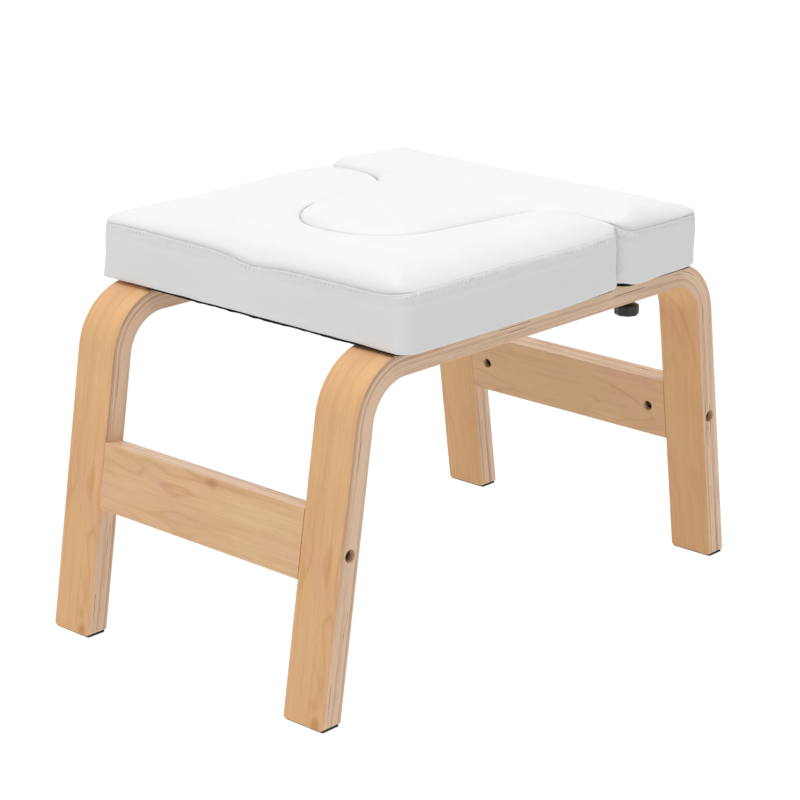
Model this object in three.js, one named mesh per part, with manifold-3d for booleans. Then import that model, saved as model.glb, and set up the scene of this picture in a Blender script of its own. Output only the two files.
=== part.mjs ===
// A stool for supported headstands. Two bent-plywood frames, joined by two stretchers, carry a horseshoe
// cushion for the shoulders and a lift-off cushion whose tongue fills the horseshoe to make a flat seat.
// Millimetres, +Z up. The origin is on the floor under the middle of the stool. The rails run along Y and
// the stretchers along X; front is -Y and right is +X.

import * as THREE from "three";
import { mergeVertices } from "three/addons/utils/BufferGeometryUtils.js";
import Module from "manifold-3d";

const wasm = await Module();
wasm.setup();

// Bent frames
const FRAME_WIDTH = 360; // over both frames, along X
const FOOT_SPAN = 610; // over the feet of one frame, along Y
const RAIL_HEIGHT = 330; // floor to the rail's upper face
const PLY_THICKNESS = 23;
const LEG_WIDTH = 49; // width of the bent strip
const BEND_RADIUS = 65; // outer face of the bend
const LEG_SPLAY = THREE.MathUtils.degToRad(8.65);
const LEG_END_RADIUS = 4; // rounded lower corners of the strip
const BEND_SEGMENTS = 10;

// Foot pads
const FOOT_THICKNESS = 2;
const FOOT_INSET = 2.5; // from each edge of the leg's end
const FOOT_CORNER_RADIUS = 3;

// Stretchers and their joints
const STRETCHER_HEIGHT = 65;
const BOLT_HEIGHT = 158; // floor to the bolt's axis
const BOLT_RADIUS = 3;
const BOLT_HEAD_RADIUS = 5;
const BOLT_HEAD_HEIGHT = 6;
const BOLT_SOCKET_RADIUS = 2.9; // over the corners of the hexagon
const BOLT_SOCKET_DEPTH = 3;
const HEAD_CLEARANCE = 1; // round a sunk bolt head
const COUNTERBORE_DEPTH = 12;
const BARREL_RADIUS = 4.8;
const BARREL_COVER = 4.5; // wood past each end of the barrel
const BARREL_INSET = 22; // from the stretcher's end to the barrel's axis
const BARREL_SLOT_WIDTH = 1.2;
const BARREL_SLOT_DEPTH = 1;
const BOLT_PAST_BARREL = 1;
const DOWEL_RADIUS = 4;
const DOWEL_LENGTH = 38;
const DOWEL_CHAMFER = 1;
const DOWEL_SPACING = 40; // between the two dowels of a joint
const HOLE_END_PLAY = 2; // empty end of a blind hole

// Clearances
const SEAT_GAP = 0.3; // between faces that touch
const PIN_CLEARANCE = 0.3; // round a pin or bolt in its hole
const CUT_OVERRUN = 1; // how far a cutter passes the face it opens

// Cushions
const CUSHION_OVERHANG = 16; // past the frames' outer faces
const CUSHION_PAST_RAIL = 19; // past the ends of the rail's flat
const CUSHION_GAP = 1; // between the two cushions
const BASE_CORNER_RADIUS = 12;
const SEAM_CORNER_RADIUS = 35;
const INSERT_DEPTH = 125; // of the insert's arms, along Y
const SHOULDER_BAR_DEPTH = 105; // of the shoulder cushion in front of the tongue
const TONGUE_ROOT_HALF = 97;
const TONGUE_TIP_HALF = 71;
const TONGUE_TIP_RADIUS = 70;
const TONGUE_ROOT_RADIUS = 35;
const SEAM_HEIGHT = 54; // underside of the cover to the seam
const CROWN_RISE = 10.6; // seam to crown
const COVER_THICKNESS = 1.2;
const COVER_HEM = 20; // folded under the board
const EDGE_ROUND = 3; // lower edge of the cover
const EDGE_ROUND_HEIGHT = 5;
const SIDE_WAIST = 1.2; // how far the sides pull in at mid height
const SHOULDER_INSETS = [3, 8, 17, 34]; // rings of the rounded shoulder above the seam
const SHOULDER_RISE_SHARES = [0.4, 0.7, 0.92, 1]; // of the crown, at those rings
const DUST_CLOTH_THICKNESS = 0.8;
const DUST_CLOTH_INSET = 7;
const DUST_CLOTH_HOLE_RADIUS = 6;
const BOARD_THICKNESS = 15;
const SMALLEST_FILLET = 0.5;
const OUTER_CORNER_SEGMENTS = 5;
const ROOT_SEGMENTS = 4;
const TIP_SEGMENTS = 8;

// Cushion fixings
const CUSHION_BOLT_SETBACK = 55; // from the shoulder cushion's edges
const KNOB_SETBACK = 65.5; // from the insert's rear edge
const THREAD_SHORTFALL = 4.3; // thread's end below the tee nut's flange
const WASHER_RADIUS = 8;
const WASHER_THICKNESS = 1.5;
const BUTTON_HEAD_RADIUS = 5.3;
const BUTTON_HEAD_HEIGHT = 3.3;
const BUTTON_HEAD_ROUND = 1.6;
const BUTTON_SOCKET_RADIUS = 2.3;
const BUTTON_SOCKET_DEPTH = 2;
const TEE_FLANGE_RADIUS = 9;
const TEE_FLANGE_THICKNESS = 1.5;
const TEE_BARREL_WALL = 1.2;
const TEE_BARREL_LENGTH = 9.5;
const KNOB_RADIUS = 12.2;
const KNOB_LOBES = 6;
const KNOB_FLUTE_RADIUS = 3.4;
const KNOB_FLUTE_DEPTH = 1.5;
const KNOB_HEAD_HEIGHT = 11;
const KNOB_CHAMFER = 2;
const KNOB_HUB_RADIUS = 7.5;
const KNOB_HUB_HEIGHT = 8;
const STUD_IN_KNOB = 12;

// Roundness
const ROUND_SIDES = 12;
const KNOB_SIDES = 24;
const HEX_SIDES = 6;
const MERGE_TOLERANCE = 1e-4;

// Sizes that follow from those above
const LEG_BOTTOM = FOOT_THICKNESS + SEAT_GAP;
const LEG_THICKNESS_AT_FLOOR = PLY_THICKNESS / Math.cos(LEG_SPLAY);
const RAIL_UNDERSIDE = RAIL_HEIGHT - PLY_THICKNESS;
const RAIL_X = (FRAME_WIDTH - LEG_WIDTH) / 2; // middle of each strip
const FRAME_GAP_HALF = FRAME_WIDTH / 2 - LEG_WIDTH; // to the frames' inner faces
const BEND_TURN = Math.PI / 2 - LEG_SPLAY;
const RAIL_FLAT_HALF = outerFaceY(RAIL_HEIGHT) - BEND_RADIUS * Math.tan(BEND_TURN / 2);
const JOINT_Y = outerFaceY(BOLT_HEIGHT) - LEG_THICKNESS_AT_FLOOR / 2;
const CUSHION_HALF_WIDTH = FRAME_WIDTH / 2 + CUSHION_OVERHANG;
const CUSHION_HALF_DEPTH = RAIL_FLAT_HALF + CUSHION_PAST_RAIL;
const DIVIDE_Y = CUSHION_HALF_DEPTH - INSERT_DEPTH;
const TONGUE_TIP_Y = SHOULDER_BAR_DEPTH - CUSHION_HALF_DEPTH;
const KNOB_Y = CUSHION_HALF_DEPTH - KNOB_SETBACK;
const CUSHION_BOLT_YS = [CUSHION_BOLT_SETBACK - CUSHION_HALF_DEPTH, DIVIDE_Y - CUSHION_BOLT_SETBACK];
const DUST_CLOTH_BOTTOM = RAIL_HEIGHT + SEAT_GAP;
const COVER_BOTTOM = DUST_CLOTH_BOTTOM + DUST_CLOTH_THICKNESS + SEAT_GAP;
const BOARD_BOTTOM = COVER_BOTTOM + COVER_THICKNESS + SEAT_GAP;
const BOARD_TOP = BOARD_BOTTOM + BOARD_THICKNESS;
const FOAM_BOTTOM = BOARD_TOP + SEAT_GAP;
const WASHER_BOTTOM = RAIL_UNDERSIDE - SEAT_GAP - WASHER_THICKNESS;
const FIXING_TOP = WASHER_BOTTOM - SEAT_GAP; // where a head or hub meets the washer
const FIXING_LENGTH = BOARD_TOP - SEAT_GAP - THREAD_SHORTFALL - FIXING_TOP; // thread above a head or hub
const TEE_BARREL_RADIUS = BOLT_RADIUS + PIN_CLEARANCE + TEE_BARREL_WALL;
const BARREL_LENGTH = PLY_THICKNESS - 2 * BARREL_COVER;
const COUNTERBORE_TO_BARREL = LEG_WIDTH - COUNTERBORE_DEPTH + BARREL_INSET + SEAT_GAP;

const MATERIALS = {
  wood: new THREE.MeshStandardMaterial({ color: 0xd9ae7c, roughness: 0.45 }),
  cover: new THREE.MeshStandardMaterial({ color: 0xeeeeec, roughness: 0.5 }),
  foam: new THREE.MeshStandardMaterial({ color: 0xe6d9a8, roughness: 0.95 }),
  board: new THREE.MeshStandardMaterial({ color: 0xc6a273, roughness: 0.7 }),
  cloth: new THREE.MeshStandardMaterial({ color: 0x161616, roughness: 0.95 }),
  steel: new THREE.MeshStandardMaterial({ color: 0x8f9194, roughness: 0.35, metalness: 1 }),
  plastic: new THREE.MeshStandardMaterial({ color: 0x1b1c1e, roughness: 0.5 }),
  felt: new THREE.MeshStandardMaterial({ color: 0x2a2624, roughness: 0.95 }),
};
const ENDS = [
  { name: "front", sign: -1, turn: 0 },
  { name: "rear", sign: 1, turn: Math.PI },
];
const SIDES = [
  { name: "right", sign: 1 },
  { name: "left", sign: -1 },
];

// How far a leg's outer face is from the middle of the stool, at a height.
function outerFaceY(height) {
  return FOOT_SPAN / 2 - (height - LEG_BOTTOM) * Math.tan(LEG_SPLAY);
}

function solidFrom(geometry) {
  const bare = geometry.index ? geometry.toNonIndexed() : geometry.clone();
  bare.deleteAttribute("normal");
  bare.deleteAttribute("uv");
  const merged = mergeVertices(bare, MERGE_TOLERANCE);
  return new wasm.Manifold(
    new wasm.Mesh({
      numProp: 3,
      vertProperties: merged.attributes.position.array,
      triVerts: new Uint32Array(merged.index.array),
    }),
  );
}

function geometryFrom(solid) {
  const mesh = solid.getMesh();
  const geometry = new THREE.BufferGeometry();
  geometry.setAttribute("position", new THREE.BufferAttribute(new Float32Array(mesh.vertProperties), 3));
  geometry.setIndex(new THREE.BufferAttribute(new Uint32Array(mesh.triVerts), 1));
  return geometry;
}

// The geometry with every cutter taken out of it.
function cut(geometry, cutters) {
  let solid = solidFrom(geometry);
  for (const cutter of cutters) solid = solid.subtract(solidFrom(cutter));
  return geometryFrom(solid);
}

// A round bar along +Z from `low` to `high`.
function roundBar(radius, low, high, sides = ROUND_SIDES) {
  const bar = new THREE.CylinderGeometry(radius, radius, high - low, sides);
  return bar.rotateX(Math.PI / 2).translate(0, 0, (low + high) / 2);
}

// A cutter for a hole whose flats, not its corners, are at `radius`.
function bore(radius, low, high, sides = ROUND_SIDES) {
  return roundBar(radius / Math.cos(Math.PI / sides), low, high, sides);
}

// A body of revolution about +Z from a closed outline of [radius, height] pairs, listed bottom to top outside.
function turned(outline, sides = ROUND_SIDES) {
  const profile = outline.map(([radius, height]) => new THREE.Vector2(radius, height));
  if (outline[0][0] > 0) profile.push(profile[0].clone());
  return new THREE.LatheGeometry(profile, sides).rotateX(Math.PI / 2);
}

function extruded(shape, depth, curveSegments) {
  return new THREE.ExtrudeGeometry(shape, { depth, curveSegments, bevelEnabled: false });
}

function addPart(parent, name, geometry, material) {
  const mesh = new THREE.Mesh(geometry, material);
  mesh.name = name;
  parent.add(mesh);
  return mesh;
}

// Frames: the strip's side view, drawn as (y, z), with both legs splayed outwards.
function stripSideView() {
  const centreY = RAIL_FLAT_HALF;
  const centreZ = RAIL_HEIGHT - BEND_RADIUS;
  const innerFootY = FOOT_SPAN / 2 - LEG_THICKNESS_AT_FLOOR;
  const shape = new THREE.Shape();
  shape.moveTo(innerFootY, LEG_BOTTOM);
  shape.lineTo(FOOT_SPAN / 2, LEG_BOTTOM);
  shape.absarc(centreY, centreZ, BEND_RADIUS, LEG_SPLAY, Math.PI / 2, false);
  shape.absarc(-centreY, centreZ, BEND_RADIUS, Math.PI / 2, Math.PI - LEG_SPLAY, false);
  shape.lineTo(-FOOT_SPAN / 2, LEG_BOTTOM);
  shape.lineTo(-innerFootY, LEG_BOTTOM);
  shape.absarc(-centreY, centreZ, BEND_RADIUS - PLY_THICKNESS, Math.PI - LEG_SPLAY, Math.PI / 2, true);
  shape.absarc(centreY, centreZ, BEND_RADIUS - PLY_THICKNESS, Math.PI / 2, LEG_SPLAY, true);
  shape.closePath();
  return shape;
}

// The strip's front view, drawn as (x, z): it only rounds the lower corners of the legs.
function stripFrontView() {
  const half = LEG_WIDTH / 2;
  const top = RAIL_HEIGHT + CUT_OVERRUN;
  const centreX = half - LEG_END_RADIUS;
  const centreZ = LEG_BOTTOM + LEG_END_RADIUS;
  const shape = new THREE.Shape();
  shape.moveTo(half, top);
  shape.lineTo(-half, top);
  shape.absarc(-centreX, centreZ, LEG_END_RADIUS, Math.PI, 1.5 * Math.PI, false);
  shape.absarc(centreX, centreZ, LEG_END_RADIUS, 1.5 * Math.PI, 2 * Math.PI, false);
  shape.closePath();
  return shape;
}

// Cutters for one leg's stretcher joint, in the strip's own frame, whose X starts at the strip's middle.
function legJointCutters(side, end) {
  const outer = side.sign * (LEG_WIDTH / 2 + CUT_OVERRUN);
  const seat = side.sign * (LEG_WIDTH / 2 - COUNTERBORE_DEPTH);
  const inner = -side.sign * (LEG_WIDTH / 2 + CUT_OVERRUN);
  const dowelEnd = -side.sign * (LEG_WIDTH / 2 - DOWEL_LENGTH / 2 - HOLE_END_PLAY);
  const alongX = (radius, from, to, rise) =>
    bore(radius, Math.min(from, to), Math.max(from, to))
      .rotateY(Math.PI / 2)
      .translate(0, 0, rise)
      .rotateX(end.sign * LEG_SPLAY)
      .translate(0, end.sign * JOINT_Y, BOLT_HEIGHT);
  const rises = [DOWEL_SPACING / 2, -DOWEL_SPACING / 2];
  return [
    alongX(BOLT_HEAD_RADIUS + HEAD_CLEARANCE, seat, outer, 0),
    alongX(BOLT_RADIUS + PIN_CLEARANCE, inner, outer, 0),
    ...rises.map((rise) => alongX(DOWEL_RADIUS + PIN_CLEARANCE, inner, dowelEnd, rise)),
  ];
}

function addFrame(parent, side) {
  const sideView = extruded(stripSideView(), LEG_WIDTH, BEND_SEGMENTS).translate(0, 0, -LEG_WIDTH / 2);
  const uprightStrip = solidFrom(sideView.rotateY(Math.PI / 2).rotateX(Math.PI / 2));
  const frontView = extruded(stripFrontView(), FOOT_SPAN + 2 * CUT_OVERRUN, ROOT_SEGMENTS);
  const rounded = solidFrom(frontView.rotateX(Math.PI / 2).translate(0, FOOT_SPAN / 2 + CUT_OVERRUN, 0));
  const blank = geometryFrom(uprightStrip.intersect(rounded));
  const [low, high] = [RAIL_UNDERSIDE - CUT_OVERRUN, RAIL_HEIGHT + CUT_OVERRUN];
  const railHoles = [...CUSHION_BOLT_YS, KNOB_Y].map((y) =>
    bore(BOLT_RADIUS + PIN_CLEARANCE, low, high).translate(0, y, 0),
  );
  const jointHoles = ENDS.flatMap((end) => legJointCutters(side, end));
  const drilled = cut(blank, [...railHoles, ...jointHoles]);
  const mesh = addPart(parent, `frame_${side.name}`, drilled, MATERIALS.wood);
  mesh.position.x = side.sign * RAIL_X;
}

function addFootPad(parent, side, end) {
  const halfX = LEG_WIDTH / 2 - FOOT_INSET;
  const halfY = LEG_THICKNESS_AT_FLOOR / 2 - FOOT_INSET;
  const corners = [
    [-halfX, -halfY],
    [halfX, -halfY],
    [halfX, halfY],
    [-halfX, halfY],
  ].map(([x, y]) => ({ x, y, radius: FOOT_CORNER_RADIUS, segments: ROOT_SEGMENTS }));
  const outline = filletedOutline(corners, 0);
  const pad = lofted([ringAt(outline, 0), ringAt(outline, FOOT_THICKNESS)]);
  const mesh = addPart(parent, `foot_pad_${end.name}_${side.name}`, pad, MATERIALS.felt);
  mesh.position.set(side.sign * RAIL_X, end.sign * (FOOT_SPAN / 2 - LEG_THICKNESS_AT_FLOOR / 2), 0);
}

// Stretchers: everything of one end hangs in a group whose X is the bolts' axis and whose Y points inwards.
function stretcherGeometry() {
  const halfLength = FRAME_GAP_HALF - SEAT_GAP;
  const slab = new THREE.BoxGeometry(2 * halfLength, PLY_THICKNESS, STRETCHER_HEIGHT);
  const reach = BARREL_INSET + BARREL_RADIUS + BOLT_PAST_BARREL + HOLE_END_PLAY;
  const cutters = [];
  for (const { sign } of SIDES) {
    const endHole = (radius, depth, rise) =>
      bore(radius, halfLength - depth, halfLength + CUT_OVERRUN)
        .rotateY((sign * Math.PI) / 2)
        .translate(0, 0, rise);
    cutters.push(endHole(BOLT_RADIUS + PIN_CLEARANCE, reach, 0));
    for (const rise of [DOWEL_SPACING / 2, -DOWEL_SPACING / 2])
      cutters.push(endHole(DOWEL_RADIUS + PIN_CLEARANCE, DOWEL_LENGTH / 2 + HOLE_END_PLAY, rise));
    const crossHole = bore(
      BARREL_RADIUS + PIN_CLEARANCE,
      -BARREL_LENGTH / 2 - SEAT_GAP,
      PLY_THICKNESS / 2 + CUT_OVERRUN,
    );
    cutters.push(crossHole.rotateX(-Math.PI / 2).translate(sign * (FRAME_GAP_HALF - BARREL_INSET), 0, 0));
  }
  return cut(slab, cutters);
}

// A socket-head bolt along +Z, its head's underside at 0 and its tip at `length`.
function bolt(length, headRadius, headHeight, headRound, socketRadius, socketDepth) {
  const shape = turned([
    [0, -headHeight],
    [headRadius - headRound, -headHeight],
    [headRadius, headRound - headHeight],
    [headRadius, 0],
    [BOLT_RADIUS, 0],
    [BOLT_RADIUS, length],
    [0, length],
  ]);
  const socket = roundBar(socketRadius, -headHeight - CUT_OVERRUN, socketDepth - headHeight, HEX_SIDES);
  return cut(shape, [socket]);
}

function frameBolt() {
  const length = COUNTERBORE_TO_BARREL + BARREL_RADIUS + BOLT_PAST_BARREL;
  return bolt(length, BOLT_HEAD_RADIUS, BOLT_HEAD_HEIGHT, SEAT_GAP, BOLT_SOCKET_RADIUS, BOLT_SOCKET_DEPTH);
}

// A barrel nut along +Z with its threaded hole along X and a screwdriver slot in its upper end.
function barrelNut() {
  const barrel = roundBar(BARREL_RADIUS, -BARREL_LENGTH / 2, BARREL_LENGTH / 2);
  const span = BARREL_RADIUS + CUT_OVERRUN;
  const thread = bore(BOLT_RADIUS + PIN_CLEARANCE, -span, span).rotateY(Math.PI / 2);
  const slot = new THREE.BoxGeometry(2 * span, BARREL_SLOT_WIDTH, 2 * BARREL_SLOT_DEPTH);
  return cut(barrel, [thread, slot.translate(0, 0, BARREL_LENGTH / 2)]);
}

function dowel() {
  const half = DOWEL_LENGTH / 2;
  return turned([
    [0, -half],
    [DOWEL_RADIUS - DOWEL_CHAMFER, -half],
    [DOWEL_RADIUS, DOWEL_CHAMFER - half],
    [DOWEL_RADIUS, half - DOWEL_CHAMFER],
    [DOWEL_RADIUS - DOWEL_CHAMFER, half],
    [0, half],
  ]);
}

function addStretcher(parent, end) {
  const turn = new THREE.Group();
  turn.rotation.z = end.turn;
  const joint = new THREE.Group();
  joint.position.set(0, -JOINT_Y, BOLT_HEIGHT);
  joint.rotation.x = -LEG_SPLAY;
  turn.add(joint);
  parent.add(turn);

  addPart(joint, `stretcher_${end.name}`, stretcherGeometry(), MATERIALS.wood);
  for (const side of SIDES) {
    const localSign = end.sign === -1 ? side.sign : -side.sign;
    const label = `${end.name}_${side.name}`;
    const boltMesh = addPart(joint, `frame_bolt_${label}`, frameBolt(), MATERIALS.steel);
    boltMesh.position.x = localSign * (FRAME_WIDTH / 2 - COUNTERBORE_DEPTH + SEAT_GAP);
    boltMesh.rotation.y = (-localSign * Math.PI) / 2;
    const nut = addPart(joint, `barrel_nut_${label}`, barrelNut(), MATERIALS.steel);
    nut.position.x = localSign * (FRAME_GAP_HALF - BARREL_INSET);
    nut.rotation.x = -Math.PI / 2;
    for (const [level, rise] of [["upper", DOWEL_SPACING / 2], ["lower", -DOWEL_SPACING / 2]]) {
      const pin = addPart(joint, `dowel_${label}_${level}`, dowel(), MATERIALS.wood);
      pin.position.set(localSign * FRAME_GAP_HALF, 0, rise);
      pin.rotation.y = Math.PI / 2;
    }
  }
}

// Cushion outlines: corners listed anticlockwise. The shared divide is drawn once for both cushions, and each
// is drawn in by half the gap, so the outer edges start half a gap further out.
function cushionCorners(kind, outerRadius) {
  const x = CUSHION_HALF_WIDTH + CUSHION_GAP / 2;
  const y = CUSHION_HALF_DEPTH + CUSHION_GAP / 2;
  const outer = { radius: outerRadius, segments: OUTER_CORNER_SEGMENTS };
  const root = { radius: TONGUE_ROOT_RADIUS, segments: ROOT_SEGMENTS };
  const tip = { radius: TONGUE_TIP_RADIUS, segments: TIP_SEGMENTS };
  const rightDivide = [
    { x, y: DIVIDE_Y, ...outer },
    { x: TONGUE_ROOT_HALF, y: DIVIDE_Y, ...root },
    { x: TONGUE_TIP_HALF, y: TONGUE_TIP_Y, ...tip },
  ];
  const leftDivide = rightDivide.map((corner) => ({ ...corner, x: -corner.x })).reverse();
  const frontEdge = [
    { x: -x, y: -y, ...outer },
    { x, y: -y, ...outer },
  ];
  const rearEdge = [
    { x, y, ...outer },
    { x: -x, y, ...outer },
  ];
  if (kind === "shoulder") return [...frontEdge, ...rightDivide, ...leftDivide];
  return [...leftDivide.toReversed(), ...rightDivide.toReversed(), ...rearEdge];
}

// The corners drawn in by `inset` and filleted. A fillet shrinks on an outside corner, grows on an inside one
// and takes at most half of each edge beside it.
function filletedOutline(corners, inset) {
  const count = corners.length;
  const at = (list, index) => list[(index + count) % count];
  const points = corners.map(({ x, y }) => new THREE.Vector2(x, y));
  const directions = points.map((point, i) => at(points, i + 1).clone().sub(point).normalize());
  const moved = points.map((point, i) => {
    const before = at(directions, i - 1);
    const after = directions[i];
    const bisector = new THREE.Vector2(-before.y - after.y, before.x + after.x);
    return point.clone().addScaledVector(bisector, inset / (1 + before.dot(after)));
  });
  return corners.flatMap(({ radius, segments }, i) => {
    const before = at(directions, i - 1);
    const after = directions[i];
    const turn = before.cross(after) > 0 ? 1 : -1;
    const angle = Math.acos(before.dot(after));
    const room = Math.min(moved[i].distanceTo(at(moved, i - 1)), moved[i].distanceTo(at(moved, i + 1))) / 2;
    const wanted = Math.max(radius - turn * inset, SMALLEST_FILLET);
    const fillet = Math.min(wanted, room / Math.tan(angle / 2));
    const start = moved[i].clone().addScaledVector(before, -fillet * Math.tan(angle / 2));
    const centre = start.clone().add(new THREE.Vector2(-before.y, before.x).multiplyScalar(turn * fillet));
    const arc = [];
    for (let step = 0; step <= segments; step += 1)
      arc.push(start.clone().rotateAround(centre, (turn * angle * step) / segments));
    return arc;
  });
}

function ringAt(outline, height) {
  return outline.map(({ x, y }) => new THREE.Vector3(x, y, height));
}

// A closed body through rings of equal count, anticlockwise from above, capped on its first and last ring.
function lofted(rings) {
  const count = rings[0].length;
  const positions = rings.flat().flatMap((point) => point.toArray());
  const indices = [];
  for (let ring = 0; ring + 1 < rings.length; ring += 1)
    for (let i = 0; i < count; i += 1) {
      const j = (i + 1) % count;
      const [a, b] = [ring * count + i, ring * count + j];
      indices.push(a, b, b + count, a, b + count, a + count);
    }
  const flat = (ring) => ring.map(({ x, y }) => new THREE.Vector2(x, y));
  const lastStart = (rings.length - 1) * count;
  for (const [a, b, c] of THREE.ShapeUtils.triangulateShape(flat(rings[0]), [])) indices.push(c, b, a);
  for (const [a, b, c] of THREE.ShapeUtils.triangulateShape(flat(rings.at(-1)), []))
    indices.push(lastStart + a, lastStart + b, lastStart + c);
  const geometry = new THREE.BufferGeometry();
  geometry.setAttribute("position", new THREE.Float32BufferAttribute(positions, 3));
  geometry.setIndex(indices);
  return geometry;
}

// The outer corners open from a small radius at the cushion's base to a large one at the seam.
function outerRadiusAt(rise) {
  return THREE.MathUtils.lerp(BASE_CORNER_RADIUS, SEAM_CORNER_RADIUS, Math.min(rise / SEAM_HEIGHT, 1));
}

// One ring of a cushion: its outline, drawn in by `inset`, at a height above the cover's underside.
function cushionRing(kind, inset, rise) {
  const outline = filletedOutline(cushionCorners(kind, outerRadiusAt(rise)), inset + CUSHION_GAP / 2);
  return ringAt(outline, COVER_BOTTOM + rise);
}

// Rings of the padded part, from the side's waist to the crown, all `depth` under the cover's outer face.
function paddedRings(kind, depth) {
  return [
    cushionRing(kind, SIDE_WAIST + depth, SEAM_HEIGHT / 2),
    cushionRing(kind, depth, SEAM_HEIGHT - depth),
    ...SHOULDER_INSETS.map((inset, i) =>
      cushionRing(kind, inset + depth, SEAM_HEIGHT + CROWN_RISE * SHOULDER_RISE_SHARES[i] - depth),
    ),
  ];
}

// The cover is a thin skin: up the outside, then down the inside to the hem that is folded under the board.
function coverGeometry(kind) {
  const hemInset = EDGE_ROUND + COVER_HEM;
  const outside = [
    cushionRing(kind, hemInset, 0),
    cushionRing(kind, EDGE_ROUND, 0),
    cushionRing(kind, EDGE_ROUND / 4, EDGE_ROUND_HEIGHT / 3),
    cushionRing(kind, 0, EDGE_ROUND_HEIGHT),
    ...paddedRings(kind, 0),
  ];
  const inside = [
    cushionRing(kind, hemInset, COVER_THICKNESS),
    cushionRing(kind, EDGE_ROUND, COVER_THICKNESS),
    cushionRing(kind, SIDE_WAIST + COVER_THICKNESS, EDGE_ROUND_HEIGHT),
    ...paddedRings(kind, COVER_THICKNESS),
  ];
  return lofted([...inside.reverse(), ...outside]);
}

function foamGeometry(kind) {
  const depth = COVER_THICKNESS + SEAT_GAP;
  const base = cushionRing(kind, SIDE_WAIST + depth, FOAM_BOTTOM - COVER_BOTTOM);
  return lofted([base, ...paddedRings(kind, depth)]);
}

// A level plate of a cushion, with an upright hole at each fixing.
function plateGeometry(kind, inset, bottom, top, fixings, holeRadius) {
  const outerRadius = outerRadiusAt(top - COVER_BOTTOM);
  const outline = filletedOutline(cushionCorners(kind, outerRadius), inset + CUSHION_GAP / 2);
  const plate = lofted([ringAt(outline, bottom), ringAt(outline, top)]);
  const [low, high] = [bottom - CUT_OVERRUN, top + CUT_OVERRUN];
  const holes = fixings.map(({ x, y }) => bore(holeRadius, low, high).translate(x, y, 0));
  return { plate, holes };
}

// A tee nut along +Z, its flange's upper face at 0.
function teeNut() {
  const hole = BOLT_RADIUS + PIN_CLEARANCE;
  return turned([
    [hole, -TEE_BARREL_LENGTH],
    [TEE_BARREL_RADIUS, -TEE_BARREL_LENGTH],
    [TEE_BARREL_RADIUS, -TEE_FLANGE_THICKNESS],
    [TEE_FLANGE_RADIUS, -TEE_FLANGE_THICKNESS],
    [TEE_FLANGE_RADIUS, 0],
    [hole, 0],
  ]);
}

function boardGeometry(kind, fixings) {
  const inset = EDGE_ROUND + SIDE_WAIST + SEAT_GAP;
  const holeRadius = TEE_BARREL_RADIUS + PIN_CLEARANCE;
  const { plate, holes } = plateGeometry(kind, inset, BOARD_BOTTOM, BOARD_TOP, fixings, holeRadius);
  const flangeFloor = BOARD_TOP - TEE_FLANGE_THICKNESS - 2 * SEAT_GAP;
  const recesses = fixings.map(({ x, y }) =>
    bore(TEE_FLANGE_RADIUS + PIN_CLEARANCE, flangeFloor, BOARD_TOP + CUT_OVERRUN).translate(x, y, 0),
  );
  return cut(plate, [...holes, ...recesses]);
}

function dustClothGeometry(kind, fixings) {
  const bottom = DUST_CLOTH_BOTTOM;
  const top = bottom + DUST_CLOTH_THICKNESS;
  const { plate, holes } = plateGeometry(kind, DUST_CLOTH_INSET, bottom, top, fixings, DUST_CLOTH_HOLE_RADIUS);
  return cut(plate, holes);
}

function addCushion(parent, kind, fixings) {
  addPart(parent, `${kind}_cover`, coverGeometry(kind), MATERIALS.cover);
  addPart(parent, `${kind}_foam`, foamGeometry(kind), MATERIALS.foam);
  addPart(parent, `${kind}_board`, boardGeometry(kind, fixings), MATERIALS.board);
  addPart(parent, `${kind}_dust_cloth`, dustClothGeometry(kind, fixings), MATERIALS.cloth);
  for (const { x, y, name } of fixings) {
    const nut = addPart(parent, `${kind}_tee_nut_${name}`, teeNut(), MATERIALS.steel);
    nut.position.set(x, y, BOARD_TOP - SEAT_GAP);
  }
}

// Fixings: a flat washer with its upper face at 0.
function washer() {
  const hole = BOLT_RADIUS + PIN_CLEARANCE;
  return turned([
    [hole, -WASHER_THICKNESS],
    [WASHER_RADIUS, -WASHER_THICKNESS],
    [WASHER_RADIUS, 0],
    [hole, 0],
  ]);
}

function addWasher(parent, name, x, y) {
  const mesh = addPart(parent, name, washer(), MATERIALS.steel);
  mesh.position.set(x, y, RAIL_UNDERSIDE - SEAT_GAP);
}

function addCushionBolt(parent, { x, y, name }) {
  const shape = bolt(
    FIXING_LENGTH,
    BUTTON_HEAD_RADIUS,
    BUTTON_HEAD_HEIGHT,
    BUTTON_HEAD_ROUND,
    BUTTON_SOCKET_RADIUS,
    BUTTON_SOCKET_DEPTH,
  );
  addPart(parent, `cushion_bolt_${name}`, shape, MATERIALS.steel).position.set(x, y, FIXING_TOP);
  addWasher(parent, `cushion_washer_${name}`, x, y);
}

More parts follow.
